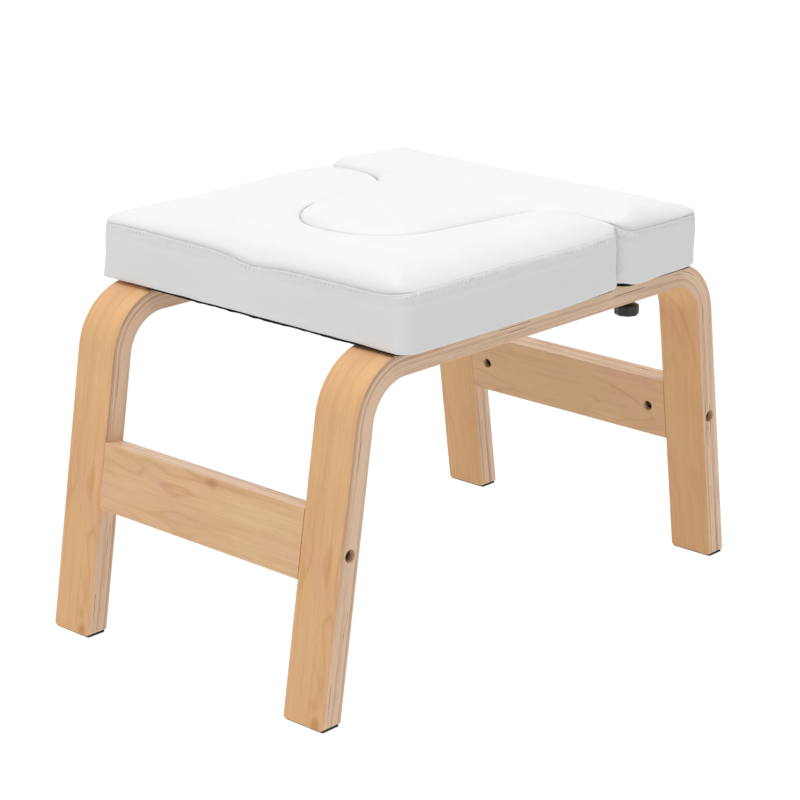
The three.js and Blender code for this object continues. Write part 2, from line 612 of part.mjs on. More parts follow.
// A lobed hand knob hanging from 0, with a hole for its stud.
function knobHead() {
  const hubTop = -KNOB_HUB_HEIGHT;
  const bottom = hubTop - KNOB_HEAD_HEIGHT;
  const blank = turned(
    [
      [0, bottom],
      [KNOB_RADIUS - KNOB_CHAMFER, bottom],
      [KNOB_RADIUS, bottom + KNOB_CHAMFER],
      [KNOB_RADIUS, hubTop - KNOB_CHAMFER / 2],
      [KNOB_RADIUS - KNOB_CHAMFER / 2, hubTop],
      [KNOB_HUB_RADIUS, hubTop],
      [KNOB_HUB_RADIUS, 0],
      [0, 0],
    ],
    KNOB_SIDES,
  );
  const fluteCentre = KNOB_RADIUS + KNOB_FLUTE_RADIUS - KNOB_FLUTE_DEPTH;
  const cutters = [bore(BOLT_RADIUS + PIN_CLEARANCE, -STUD_IN_KNOB - SEAT_GAP, CUT_OVERRUN)];
  for (let lobe = 0; lobe < KNOB_LOBES; lobe += 1) {
    const flute = roundBar(KNOB_FLUTE_RADIUS, bottom - CUT_OVERRUN, hubTop + CUT_OVERRUN);
    cutters.push(flute.translate(fluteCentre, 0, 0).rotateZ(((lobe + 0.5) * 2 * Math.PI) / KNOB_LOBES));
  }
  return cut(blank, cutters);
}

function addKnob(parent, { x, y, name }) {
  addPart(parent, `knob_head_${name}`, knobHead(), MATERIALS.plastic).position.set(x, y, FIXING_TOP);
  const stud = roundBar(BOLT_RADIUS, -STUD_IN_KNOB, FIXING_LENGTH);
  addPart(parent, `knob_stud_${name}`, stud, MATERIALS.steel).position.set(x, y, FIXING_TOP);
  addWasher(parent, `knob_washer_${name}`, x, y);
}

const stool = new THREE.Group();
for (const side of SIDES) addFrame(stool, side);
for (const end of ENDS) {
  addStretcher(stool, end);
  for (const side of SIDES) addFootPad(stool, side, end);
}
const shoulderFixings = SIDES.flatMap(({ name, sign }) =>
  CUSHION_BOLT_YS.map((y, i) => ({ x: sign * RAIL_X, y, name: `${["front", "middle"][i]}_${name}` })),
);
const insertFixings = SIDES.map(({ name, sign }) => ({ x: sign * RAIL_X, y: KNOB_Y, name }));
addCushion(stool, "shoulder", shoulderFixings);
addCushion(stool, "insert", insertFixings);
for (const fixing of shoulderFixings) addCushionBolt(stool, fixing);
for (const fixing of insertFixings) addKnob(stool, fixing);

export default stool;
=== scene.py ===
"""The finished look of a stool for supported headstands.

Two bent-plywood frames and two stretchers carry a white horseshoe cushion and a white lift-off cushion whose
tongue fills the horseshoe. Everything is in metres, in the frame's own axes: +Z up, +Y along the rails and +X
across them. Every new piece is a surface worked out with numpy.
"""

import logging
import math
from dataclasses import dataclass, field
from enum import Enum
from typing import Any, Sequence

import bmesh
import bpy
import numpy as np
from mathutils import Matrix, Vector
from mathutils.geometry import delaunay_2d_cdt


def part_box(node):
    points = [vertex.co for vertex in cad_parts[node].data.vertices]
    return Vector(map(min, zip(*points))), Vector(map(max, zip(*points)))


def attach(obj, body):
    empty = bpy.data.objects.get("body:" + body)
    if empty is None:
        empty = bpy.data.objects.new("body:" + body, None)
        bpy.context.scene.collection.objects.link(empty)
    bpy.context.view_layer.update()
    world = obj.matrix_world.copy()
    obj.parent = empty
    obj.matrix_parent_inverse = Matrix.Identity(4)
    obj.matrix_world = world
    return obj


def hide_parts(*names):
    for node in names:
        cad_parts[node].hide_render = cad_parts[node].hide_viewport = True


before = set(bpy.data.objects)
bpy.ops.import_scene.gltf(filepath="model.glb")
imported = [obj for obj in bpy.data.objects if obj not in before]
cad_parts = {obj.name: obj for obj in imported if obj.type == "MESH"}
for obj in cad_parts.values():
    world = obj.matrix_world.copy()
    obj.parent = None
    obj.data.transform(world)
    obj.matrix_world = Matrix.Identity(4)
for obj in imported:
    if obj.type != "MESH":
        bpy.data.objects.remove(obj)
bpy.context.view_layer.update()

log = logging.getLogger("stool")

Array = np.ndarray
Faces = list[tuple[int, ...]]
Triple = tuple[float, float, float]
Colour = Triple
Pairs = tuple[tuple[float, float], ...]
Piece = bpy.types.Object
Material = bpy.types.Material

TAU = 2 * math.pi
MM = 0.001
BLACK: Colour = (0.0, 0.0, 0.0)
WHITE: Colour = (1.0, 1.0, 1.0)


# Mesh building


def ring_faces(rows: int, columns: int, looped: bool = False) -> Faces:
    """Lists the quads between rings of points, each of which runs back into its first point.

    Args:
        rows: How many rings there are.
        columns: How many points are in each ring.
        looped: Whether the last ring is joined to the first.

    Returns:
        Four indices a quad, facing out where rings run anticlockwise and climb.
    """
    row, column = np.meshgrid(np.arange(rows if looped else rows - 1), np.arange(columns), indexing="ij")
    low, high, beside = row * columns, (row + 1) % rows * columns, (column + 1) % columns
    quads = np.stack([low + column, low + beside, high + beside, high + column], axis=-1)
    return [tuple(quad) for quad in quads.reshape(-1, 4).tolist()]


def capped_rings(rings: Array) -> tuple[Array, Faces]:
    """Joins rings of points into a closed body with a flat face on its first and last ring.

    Args:
        rings: Points as (ring, point, xyz).

    Returns:
        The points as rows, and the faces.
    """
    rows, columns = rings.shape[:2]
    low_end = tuple(range(columns - 1, -1, -1))
    high_end = tuple(range((rows - 1) * columns, rows * columns))
    return rings.reshape(-1, 3), [*ring_faces(rows, columns), low_end, high_end]


def mesh_piece(name: str, points: Array, faces: Faces, smooth: bool = True) -> Piece:
    """Makes an object at the origin whose place is in its mesh.

    Args:
        name: The object's name.
        points: Points as rows of x, y and z.
        faces: Point indices of each face.
        smooth: Whether its faces are shaded smooth.

    Returns:
        The new object.
    """
    mesh = bpy.data.meshes.new(name)
    mesh.from_pydata(points.tolist(), [], faces)
    mesh.update()
    mesh.polygons.foreach_set("use_smooth", np.full(len(mesh.polygons), smooth))
    piece = bpy.data.objects.new(name, mesh)
    bpy.context.scene.collection.objects.link(piece)
    return piece


def points_of(piece: Piece) -> Array:
    """Reads a piece's points.

    Args:
        piece: The piece.

    Returns:
        The points as rows of x, y and z.
    """
    flat = np.empty(len(piece.data.vertices) * 3, np.float32)
    piece.data.vertices.foreach_get("co", flat)
    return flat.reshape(-1, 3).astype(float)


def write_vectors(piece: Piece, name: str, values: Array) -> None:
    """Stores one vector a point, which a material reads by name.

    Args:
        piece: The piece that gets them.
        name: The attribute's name.
        values: Vectors as rows.
    """
    layer = piece.data.attributes.new(name, "FLOAT_VECTOR", "POINT")
    layer.data.foreach_set("vector", values.astype(np.float32).ravel())


def apply_modifiers(piece: Piece) -> None:
    """Replaces a piece's mesh by the one that its modifiers give, and drops them.

    Args:
        piece: The piece.
    """
    graph = bpy.context.evaluated_depsgraph_get()
    finished = bpy.data.meshes.new_from_object(piece.evaluated_get(graph), depsgraph=graph)
    piece.modifiers.clear()
    piece.data = finished


def sharpen(piece: Piece, degrees: float) -> None:
    """Shades a piece smooth but for its sharp edges, with normals led by the large faces.

    Args:
        piece: The piece.
        degrees: The angle above which an edge is sharp.
    """
    piece.data.polygons.foreach_set("use_smooth", np.full(len(piece.data.polygons), True))
    piece.data.set_sharp_from_angle(angle=math.radians(degrees))
    weighted = piece.modifiers.new("Weighted normals", "WEIGHTED_NORMAL")
    weighted.keep_sharp = True


def carve(piece: Piece, cutters: Sequence[Piece]) -> None:
    """Cuts bodies out of a piece and removes them.

    Args:
        piece: The piece to cut.
        cutters: Closed bodies with their place in their meshes.
    """
    for cutter in cutters:
        cut = piece.modifiers.new("Hole", "BOOLEAN")
        cut.operation = "DIFFERENCE"
        cut.solver = "EXACT"
        cut.object = cutter
    apply_modifiers(piece)
    for cutter in cutters:
        bpy.data.objects.remove(cutter)


def turned_rings(outline: Sequence[Sequence[float]], sides: int) -> Array:
    """Turns an outline about Z: each [radius, height] pair becomes one ring.

    Args:
        outline: Radius and height pairs, from the low end to the high one.
        sides: Points in each ring.

    Returns:
        Points as (ring, point, xyz).
    """
    angle = np.linspace(0, TAU, sides, endpoint=False)
    radius, height = np.array(outline).T
    x = radius[:, None] * np.cos(angle)
    y = radius[:, None] * np.sin(angle)
    return np.stack([x, y, np.broadcast_to(height[:, None], x.shape)], axis=-1)


def rounded_rectangle(half: Sequence[float], radius: float, steps: int) -> Array:
    """Draws a rectangle with quarter-round corners, anticlockwise.

    Args:
        half: Half of its two sides, to the sharp corners.
        radius: The corners' radius.
        steps: Points in each corner.

    Returns:
        The outline as rows of two.
    """
    quarter = np.linspace(0, math.pi / 2, steps)
    arcs = []
    for first, second, quarters in [(1, 1, 0), (-1, 1, 1), (-1, -1, 2), (1, -1, 3)]:
        angle = quarter + quarters * math.pi / 2
        centre = np.array([first, second]) * (np.array(half) - radius)
        arcs.append(centre + radius * np.stack([np.cos(angle), np.sin(angle)], axis=-1))
    return np.concatenate(arcs)


def placed(rings: Array, matrix: Matrix) -> Array:
    """Returns the points moved by a matrix."""
    return rings @ np.array(matrix.to_3x3()).T + np.array(matrix.translation)


def drill(name: str, radius: float, depth: float, ease: float, place: Matrix) -> Piece:
    """Makes the body that sinks a round hole, its mouth eased by a small chamfer.

    Args:
        name: The body's name.
        radius: The hole's radius.
        depth: Its depth.
        ease: The chamfer's size.
        place: The middle of its mouth, with Z out of the hole.

    Returns:
        The body.
    """
    outline = [(radius, -depth), (radius, -ease), (radius + 2 * ease, ease)]
    points, faces = capped_rings(placed(turned_rings(outline, 40), place))
    return mesh_piece(name, points, faces)


def rotated(vector: Array, turned: Array) -> Array:
    """Turns plane vectors.

    Args:
        vector: One vector, or one a row of turns with x and y first.
        turned: The turns as rows of (cosine, sine).

    Returns:
        The turned vectors as rows.
    """
    cos, sin = turned.T
    return np.stack([cos * vector[0] - sin * vector[1], sin * vector[0] + cos * vector[1]], axis=-1)


def ripple(points: Array, wavelength: float, seed: int) -> Array:
    """Gives a smooth wandering value at each point: the mean of sine waves in random directions.

    Args:
        points: Points as rows.
        wavelength: The waves' mean length.
        seed: Picks the waves.

    Returns:
        One value a point, about -1 to 1.
    """
    source, waves = np.random.default_rng(seed), 9
    direction = source.normal(size=(waves, points.shape[-1]))
    direction /= np.linalg.norm(direction, axis=1, keepdims=True)
    number = TAU / (wavelength * source.uniform(0.6, 1.6, size=(waves, 1)))
    phase = source.uniform(0, TAU, size=waves)
    return np.sin(points @ (direction * number).T + phase).mean(axis=-1) * math.sqrt(waves / 2)


def nearest_on(line: Array, points: Array) -> tuple[Array, Array, Array]:
    """Measures points against a closed outline.

    Args:
        line: The outline's points, anticlockwise.
        points: The points to measure.

    Returns:
        Each point's distance, the nearest outline point's index and whether it lies inside.
    """
    start, end = line, np.roll(line, -1, axis=0)
    step = end - start
    offset = points[:, None] - start[None]
    share = np.clip((offset * step).sum(-1) / np.maximum((step**2).sum(-1), 1e-18), 0, 1)
    gaps = np.linalg.norm(offset - share[..., None] * step, axis=-1)
    nearest = gaps.argmin(axis=1)
    crosses = (start[:, 1] > points[:, None, 1]) != (end[:, 1] > points[:, None, 1])
    rise = np.where(step[:, 1] == 0, 1e-12, step[:, 1])
    meets = start[:, 0] + (points[:, None, 1] - start[:, 1]) / rise * step[:, 0]
    inside = (crosses & (points[:, None, 0] < meets)).sum(axis=1) % 2 == 1
    return gaps[np.arange(len(points)), nearest], nearest, inside


def filled(points: Array, rim: int, holes: Sequence[int] = ()) -> Faces:
    """Fills a flat outline with triangles through all of the points.

    Args:
        points: Flat points: the rim first, then each hole's, then the free ones.
        rim: How many points the rim has.
        holes: How many points each hole has.

    Returns:
        The triangles, anticlockwise.
    """
    edges: list[tuple[int, int]] = []
    start = 0
    for count in (rim, *holes):
        edges += [(start + i, start + (i + 1) % count) for i in range(count)]
        start += count
    flat = [Vector(point) for point in points.tolist()]
    _, _, triangles, origin, _, _ = delaunay_2d_cdt(flat, edges, [], 1, 1e-7)
    source = [names[0] for names in origin]
    return [tuple(source[i] for i in triangle) for triangle in triangles]


def smoothed(values: Array, triangles: Array, fixed: int, rounds: int) -> Array:
    """Evens out values over a triangle net: each becomes the mean of itself and its neighbours' mean.

    Args:
        values: One value a point.
        triangles: The net's triangles as rows.
        fixed: How many of the first points keep their value.
        rounds: How often it is done.

    Returns:
        The new values.
    """
    values = values.copy()
    here = np.concatenate([triangles[:, 0], triangles[:, 1], triangles[:, 2]])
    there = np.concatenate([triangles[:, 1], triangles[:, 2], triangles[:, 0]])
    count = np.maximum(np.bincount(here, minlength=len(values)), 1)
    for _ in range(rounds):
        mean = np.bincount(here, weights=values[there], minlength=len(values)) / count
        values[fixed:] = (values[fixed:] + mean[fixed:]) / 2
    return values


def turn_outwards(piece: Piece) -> None:
    """Makes all faces of closed bodies point outwards.

    Args:
        piece: The piece that holds the bodies.
    """
    work = bmesh.new()
    work.from_mesh(piece.data)
    bmesh.ops.recalc_face_normals(work, faces=work.faces)
    work.to_mesh(piece.data)
    work.free()


# Finishes


class Shader:
    """A node tree and short calls that add and link its nodes."""

    def __init__(self, owner: Any) -> None:
        """Takes up the node tree of a new material or world."""
        owner.use_nodes = True
        self.tree = owner.node_tree

    def link(self, source: Any, target: Any) -> None:
        """Links one socket to another."""
        self.tree.links.new(source, target)

    def add(self, kind: str, inputs: dict[Any, Any] | None = None, **settings: Any) -> bpy.types.Node:
        """Adds a node.

        Args:
            kind: The node's type.
            inputs: Values or sockets by input name or number.
            settings: The node's own properties.

        Returns:
            The new node.
        """
        node = self.tree.nodes.new(kind)
        for key, value in settings.items():
            setattr(node, key, value)
        for key, value in (inputs or {}).items():
            if isinstance(value, bpy.types.NodeSocket):
                self.link(value, node.inputs[key])
            else:
                node.inputs[key].default_value = value
        return node

    def math(self, operation: str, first: Any, second: Any = 0.0) -> Any:
        """Adds a Math node and returns its output."""
        return self.add("ShaderNodeMath", {0: first, 1: second}, operation=operation).outputs[0]

    def product(self, first: Any, second: Any) -> Any:
        """Multiplies two values."""
        return self.math("MULTIPLY", first, second)

    def fade(self, value: Any, start: float, end: float, first: float = 0.0, last: float = 1.0) -> Any:
        """Runs from one number to another while a value goes from a start to an end, and holds them outside.

        Args:
            value: The value.
            start: Where the run starts.
            end: Where it ends.
            first: The number up to the start.
            last: The number from the end on.

        Returns:
            The output socket.
        """
        return self.add("ShaderNodeMapRange", {0: value, 1: start, 2: end, 3: first, 4: last}).outputs[0]

    def ramp(self, value: Any, stops: Sequence[tuple[float, Colour]], smooth: bool = False) -> Any:
        """Colours a value.

        Args:
            value: The value.
            stops: Positions and their colours.
            smooth: Whether the colours ease into each other.

        Returns:
            The colour output.
        """
        node = self.add("ShaderNodeValToRGB", {0: value})
        elements = node.color_ramp.elements
        node.color_ramp.interpolation = "EASE" if smooth else "LINEAR"
        while len(elements) < len(stops):
            elements.new(0.5)
        for element, (position, colour) in zip(elements, stops):
            element.position = position
            element.color = (*colour, 1.0)
        return node.outputs[0]

    def mix(self, share: Any, first: Any, second: Any, blend: str = "MIX") -> Any:
        """Mixes two colours.

        Args:
            share: How much of the second is taken.
            first: The first colour.
            second: The second colour.
            blend: The way of mixing.

        Returns:
            The colour output.
        """
        node = self.add("ShaderNodeMix", data_type="RGBA", blend_type=blend)
        for key, value in ((0, share), (6, first), (7, second)):
            if isinstance(value, bpy.types.NodeSocket):
                self.link(value, node.inputs[key])
            elif key == 0:
                node.inputs[key].default_value = value
            else:
                node.inputs[key].default_value = (*value, 1.0)
        return node.outputs[2]

    def stored(self, name: str) -> Any:
        """Returns the vector output of a stored attribute."""
        return self.add("ShaderNodeAttribute", attribute_name=name).outputs["Vector"]

    def place(self) -> Any:
        """Returns the object coordinates."""
        return self.add("ShaderNodeTexCoord").outputs["Object"]

    def stretched(self, vector: Any, scale: Triple) -> Any:
        """Returns a vector multiplied along each axis."""
        return self.add("ShaderNodeVectorMath", {0: vector, 1: scale}, operation="MULTIPLY").outputs[0]

    def noise(self, vector: Any, scale: float, detail: float = 2, rough: float = 0.5, warp: float = 0) -> Any:
        """Adds a noise texture.

        Args:
            vector: Where it is read.
            scale: Its number of waves a metre.
            detail: How many finer layers it has.
            rough: How strong they are.
            warp: How far it is distorted.

        Returns:
            Its value.
        """
        inputs = {"Vector": vector, "Scale": scale, "Detail": detail, "Roughness": rough, "Distortion": warp}
        return self.add("ShaderNodeTexNoise", inputs).outputs[0]

    def figure(self, vector: Any, scale: Triple, *layers: float) -> Any:
        """Returns the value of a noise texture with a scale of its own along each axis."""
        return self.noise(self.stretched(vector, scale), 1.0, *layers)

    def pair(self, first: Any, second: Any, first_scale: float, second_scale: float) -> Any:
        """Returns a vector of two scaled values."""
        parts = {0: self.product(first, first_scale), 1: self.product(second, second_scale)}
        return self.add("ShaderNodeCombineXYZ", parts).outputs[0]

    def bump(self, height: Any, distance: float, strength: float = 1.0, below: Any = None) -> Any:
        """Turns a height into a normal.

        Args:
            height: The height, 0 to 1.
            distance: What it stands for, in metres.
            strength: How strongly it shows.
            below: A normal that it lies on.

        Returns:
            The normal output.
        """
        node = self.add("ShaderNodeBump", {"Height": height, "Distance": distance, "Strength": strength})
        if below is not None:
            self.link(below, node.inputs["Normal"])
        return node.outputs[0]


class Surface(Shader):
    """A new material with one Principled shader, and short calls for its nodes."""

    def __init__(self, name: str) -> None:
        """Starts the material.

        Args:
            name: Its name.
        """
        self.material = bpy.data.materials.new(name)
        super().__init__(self.material)
        self.principled = self.tree.nodes["Principled BSDF"]

    def set(self, **values: Any) -> None:
        """Sets or links inputs of the Principled shader, with _ for a space in their names."""
        for key, value in values.items():
            socket = self.principled.inputs[key.replace("_", " ")]
            if isinstance(value, bpy.types.NodeSocket):
                self.link(value, socket)
            else:
                socket.default_value = value


def linear(red: int, green: int, blue: int) -> Colour:
    """Turns an 8-bit screen colour into the linear one that a shader takes."""
    share = np.array([red, green, blue]) / 255
    return tuple(np.where(share > 0.04045, ((share + 0.055) / 1.055) ** 2.4, share / 12.92).tolist())


@dataclass(frozen=True)
class BentPly:
    """Lacquered birch plywood: pale veneer with a soft figure on its faces, and stacked veneers at its edges.

    It reads the attribute "grain": metres along the strip, across it and through its thickness.
    """

    name: str
    thickness: float
    plies: int = 10
    honey: Colour = linear(243, 193, 138)
    straw: Colour = linear(246, 200, 143)
    rose: Colour = linear(240, 187, 141)
    edge_pale: Colour = linear(251, 217, 184)
    edge_mid: Colour = linear(238, 199, 165)
    edge_dark: Colour = linear(212, 169, 136)
    glue: Colour = linear(172, 128, 98)
    void: Colour = linear(92, 58, 40)

    def veneer(self, shader: Shader, grain: Any) -> tuple[Any, Any]:
        """Colours a face: soft clouds, faint lines along the grain, a few wandering veins and short pores.

        Args:
            shader: The material being made.
            grain: The grain vector.

        Returns:
            The colour and a height for the bump.
        """
        clouds = shader.figure(grain, (8.0, 22.0, 1.0), 3.0, 0.5, 0.4)
        colour = shader.ramp(clouds, [(0.32, self.rose), (0.5, self.honey), (0.68, self.straw)], smooth=True)
        streaks = shader.figure(grain, (5.0, 190.0, 1.0), 4.0, 0.6, 0.35)
        fine = shader.ramp(streaks, [(0.36, linear(241, 234, 225)), (0.56, WHITE)])
        colour = shader.mix(0.45, colour, fine, "MULTIPLY")
        swirl = shader.figure(grain, (5.0, 19.0, 1.0), 2.0, 0.35, 1.1)
        rings = shader.math("PINGPONG", shader.product(swirl, 5.0), 0.5)
        flame = shader.ramp(rings, [(0.0, linear(226, 203, 178)), (0.16, WHITE)], smooth=True)
        patchy = shader.figure(grain, (6.0, 12.0, 1.0), 1.0)
        amount = shader.ramp(patchy, [(0.42, BLACK), (0.62, (0.42,) * 3)])
        colour = shader.mix(amount, colour, shader.mix(1.0, colour, flame, "MULTIPLY"))
        cells = {"Vector": shader.stretched(grain, (11.0, 17.0, 1.0)), "Scale": 1.0}
        spots = shader.add("ShaderNodeTexVoronoi", cells).outputs["Distance"]
        knot = shader.ramp(spots, [(0.03, linear(214, 186, 152)), (0.14, WHITE)], smooth=True)
        colour = shader.mix(0.7, colour, knot, "MULTIPLY")
        fibres = shader.figure(grain, (14.0, 750.0, 1.0), 3.0, 0.6)
        thread = shader.ramp(fibres, [(0.35, linear(246, 240, 232)), (0.6, WHITE)])
        colour = shader.mix(0.7, colour, thread, "MULTIPLY")
        pores = shader.figure(grain, (120.0, 1500.0, 1.0))
        flecks = shader.ramp(pores, [(0.27, linear(213, 180, 140)), (0.36, WHITE)])
        return shader.mix(0.45, colour, flecks, "MULTIPLY"), pores

    def edge(self, shader: Shader, along: Any, across: Any, through: Any) -> Any:
        """Colours an edge: each veneer has its own tone that drifts along it, with a glue line between two.

        A point's level is its distance through the strip in veneers, bent a little by a slow noise. The whole
        part of the level names the veneer, and its fraction says how near the glue line is.

        Args:
            shader: The material being made.
            along: Metres along the strip.
            across: Metres across it.
            through: Metres from the middle of its thickness.

        Returns:
            The colour.
        """
        ply_thickness = self.thickness / self.plies
        level = shader.math("DIVIDE", shader.math("ADD", through, self.thickness / 2), ply_thickness)
        wander = shader.noise(shader.pair(along, across, 5.0, 3.0), 1.0)
        level = shader.math("ADD", level, shader.product(shader.math("SUBTRACT", wander, 0.5), 0.7))
        ply = shader.math("FLOOR", level)
        shade = shader.noise(shader.pair(along, ply, 2.4, 1.3), 1.0, 2.0, 0.6)
        fibre = shader.noise(shader.pair(along, level, 60.0, 3.1), 1.0, 3.0, 0.6)
        shade = shader.math("ADD", shade, shader.product(shader.math("SUBTRACT", fibre, 0.5), 0.32))
        stops = [(0.3, self.edge_dark), (0.43, self.edge_mid), (0.56, self.edge_pale)]
        colour = shader.ramp(shade, stops, smooth=True)
        depth = shader.math("SUBTRACT", level, ply)
        near = shader.math("MINIMUM", depth, shader.math("SUBTRACT", 1.0, depth))
        line = shader.ramp(near, [(0.05, WHITE), (0.14, BLACK)])
        strength = shader.ramp(shade, [(0.35, (0.85,) * 3), (0.55, (0.22,) * 3)])
        colour = shader.mix(shader.product(line, strength), colour, self.glue)
        gaps = shader.noise(shader.pair(along, ply, 12.0, 11.7), 1.0)
        split = shader.ramp(gaps, [(0.625, BLACK), (0.65, WHITE)])
        inside = shader.ramp(depth, [(0.16, WHITE), (0.26, BLACK)])
        return shader.mix(shader.product(split, inside), colour, self.void)

    def build(self) -> Material:
        """Makes the material.

        Returns:
            The material.
        """
        shader = Surface(self.name)
        grain = shader.stored("grain")
        along, across, through = shader.add("ShaderNodeSeparateXYZ", {0: grain}).outputs
        face, pores = self.veneer(shader, grain)
        edge = self.edge(shader, along, across, through)
        outer = self.thickness / 2
        depth = shader.math("ABSOLUTE", through)
        on_edge = shader.fade(depth, outer - 0.9 * MM, outer - 0.4 * MM, 1.0, 0.0)
        shader.set(Base_Color=shader.mix(on_edge, face, edge), Roughness=0.44, Specular_IOR_Level=0.4)
        shader.set(Coat_Weight=0.1, Coat_Roughness=0.3, Normal=shader.bump(pores, 0.04 * MM, 0.5))
        return shader.material


@dataclass(frozen=True)
class Leatherette:
    """White coated cloth with a fine pebbled grain, soft puckers by the seam and the side panel's join, and
    painted shade along the seam's crease.

    It reads the attribute "panel": metres round the cushion, metres above the seam and metres from the join.
    """

    # The grey of the painted shade in the seam's crease.
    crease_shade: Colour = linear(206, 203, 196)
    thread: Colour = linear(205, 199, 180)
    stitch_pitch: float = 3.6 * MM
    topstitch_pitch: float = 5.2 * MM
    topstitch_drop: float = 3.4 * MM

    def puckers(self, shader: Shader, around: Any, above: Any) -> Any:
        """Gives a height for the small gathers between the seam and the row of stitches under it.

        Args:
            shader: The material being made.
            around: Metres round the cushion.
            above: Metres above the seam.

        Returns:
            The height.
        """
        waves = shader.noise(shader.pair(around, above, 150.0, 35.0), 1.0, 3.0, 0.6)
        near = shader.fade(above, -11 * MM, -3 * MM)
        below = shader.fade(above, -1 * MM, 1 * MM, 1.0, 0.0)
        return shader.product(waves, shader.product(near, below))

    def dents(self, shader: Shader, around: Any, above: Any) -> Any:
        """Gives a height for the row of stitch dents under the seam, deeper in some places than in others.

        Args:
            shader: The material being made.
            around: Metres round the cushion.
            above: Metres above the seam.

        Returns:
            The height.
        """
        beat = shader.math("PINGPONG", around, self.topstitch_pitch / 2)
        across = shader.math("ABSOLUTE", shader.math("ADD", above, self.topstitch_drop))
        row = shader.fade(across, 0.2 * MM, 1.3 * MM, 1.0, 0.0)
        hole = shader.fade(beat, 0.5 * MM, 1.6 * MM, 1.0, 0.0)
        patchy = shader.noise(shader.pair(around, above, 28.0, 0.0), 1.0)
        shown = shader.ramp(patchy, [(0.42, (0.15,) * 3), (0.62, WHITE)])
        return shader.product(shader.product(row, hole), shown)

    def join(self, shader: Shader, above: Any, join: Any) -> Any:
        """Gives a height for the side panel's join: a fold, and the doubled cloth beside it.

        Args:
            shader: The material being made.
            above: Metres above the seam.
            join: Metres from the join.

        Returns:
            The height.
        """
        fold = shader.fade(shader.math("ABSOLUTE", join), 0.2 * MM, 1.0 * MM)
        double = shader.fade(join, -9.5 * MM, -8 * MM)
        single = shader.fade(join, 0.0, 0.8 * MM, 1.0, 0.0)
        raised = shader.math("ADD", fold, shader.product(double, single))
        return shader.product(raised, shader.fade(above, -1.5 * MM, -0.5 * MM, 1.0, 0.0))

    def build(self) -> Material:
        """Makes the material.

        Returns:
            The material.
        """
        shader = Surface("White leatherette")
        place = shader.place()
        around, above, join = shader.add("ShaderNodeSeparateXYZ", {0: shader.stored("panel")}).outputs
        grain = shader.add("ShaderNodeTexVoronoi", {"Vector": place, "Scale": 950.0}, feature="SMOOTH_F1")
        fine = shader.noise(place, 2300.0, 2.0, 0.6)
        pebble = shader.math("ADD", shader.product(grain.outputs["Distance"], 0.8), fine)
        tone = shader.noise(place, 9.0, 3.0, 0.5)
        cloud = shader.ramp(tone, [(0.35, linear(243, 244, 244)), (0.65, linear(246, 247, 247))])
        # Painted shade: the cloth is greyed within a fraction of a millimetre of the seam, most at each
        # stitch.
        in_crease = shader.fade(shader.math("ABSOLUTE", above), 0.15 * MM, 0.7 * MM, 1.0, 0.0)
        stitch = shader.math("PINGPONG", around, self.stitch_pitch / 2)
        crease_shade_share = shader.product(in_crease, shader.fade(stitch, 0.2 * MM, 0.7 * MM, 1.0, 0.3))
        colour = shader.mix(shader.product(crease_shade_share, 0.4), cloud, self.crease_shade)
        rows = self.dents(shader, around, above)
        colour = shader.mix(shader.product(rows, 0.5), colour, self.thread)
        normal = shader.bump(pebble, 0.05 * MM, 0.3)
        normal = shader.bump(self.puckers(shader, around, above), 2.2 * MM, 0.9, normal)
        normal = shader.bump(rows, 0.4 * MM, 0.7, normal)
        normal = shader.bump(self.join(shader, above, join), 0.3 * MM, 0.6, normal)
        shader.set(Base_Color=colour, Roughness=0.5, Specular_IOR_Level=0.4, Normal=normal)
        return shader.material


@dataclass(frozen=True)
class Nonwoven:
    """Thin black spun-bonded cloth with a faint embossed dot pattern."""

    dot_pitch: float = 1.6 * MM

    def build(self) -> Material:
        """Makes the material.

        Returns:
            The material.
        """
        shader = Surface("Black nonwoven cloth")
        place = shader.place()
        cells = {"Vector": place, "Scale": 1 / self.dot_pitch, "Randomness": 0.1}
        dots = shader.add("ShaderNodeTexVoronoi", cells).outputs["Distance"]
        fibres = shader.noise(shader.stretched(place, (1.0, 1.7, 1.0)), 1400.0, 4.0, 0.7)
        colour = shader.ramp(fibres, [(0.3, linear(17, 17, 18)), (0.7, linear(38, 38, 40))])
        height = shader.math("ADD", shader.product(dots, 0.7), fibres)
        shader.set(Base_Color=colour, Roughness=0.88, Sheen_Weight=0.12, Sheen_Roughness=0.5)
        shader.set(Specular_IOR_Level=0.2, Normal=shader.bump(height, 0.15 * MM, 0.6))
        return shader.material


@dataclass(frozen=True)
class MouldedPlastic:
    """Black moulded nylon with a fine spark-eroded texture."""

    def build(self) -> Material:
        """Makes the material.

        Returns:
            The material.
        """
        shader = Surface("Black moulded nylon")
        fine = shader.noise(shader.place(), 2600.0, 2.0, 0.6)
        colour = shader.ramp(fine, [(0.3, linear(17, 18, 20)), (0.7, linear(27, 28, 31))])
        shader.set(Base_Color=colour, Roughness=0.36, Specular_IOR_Level=0.5)
        shader.set(Normal=shader.bump(fine, 0.05 * MM, 0.5))
        return shader.material


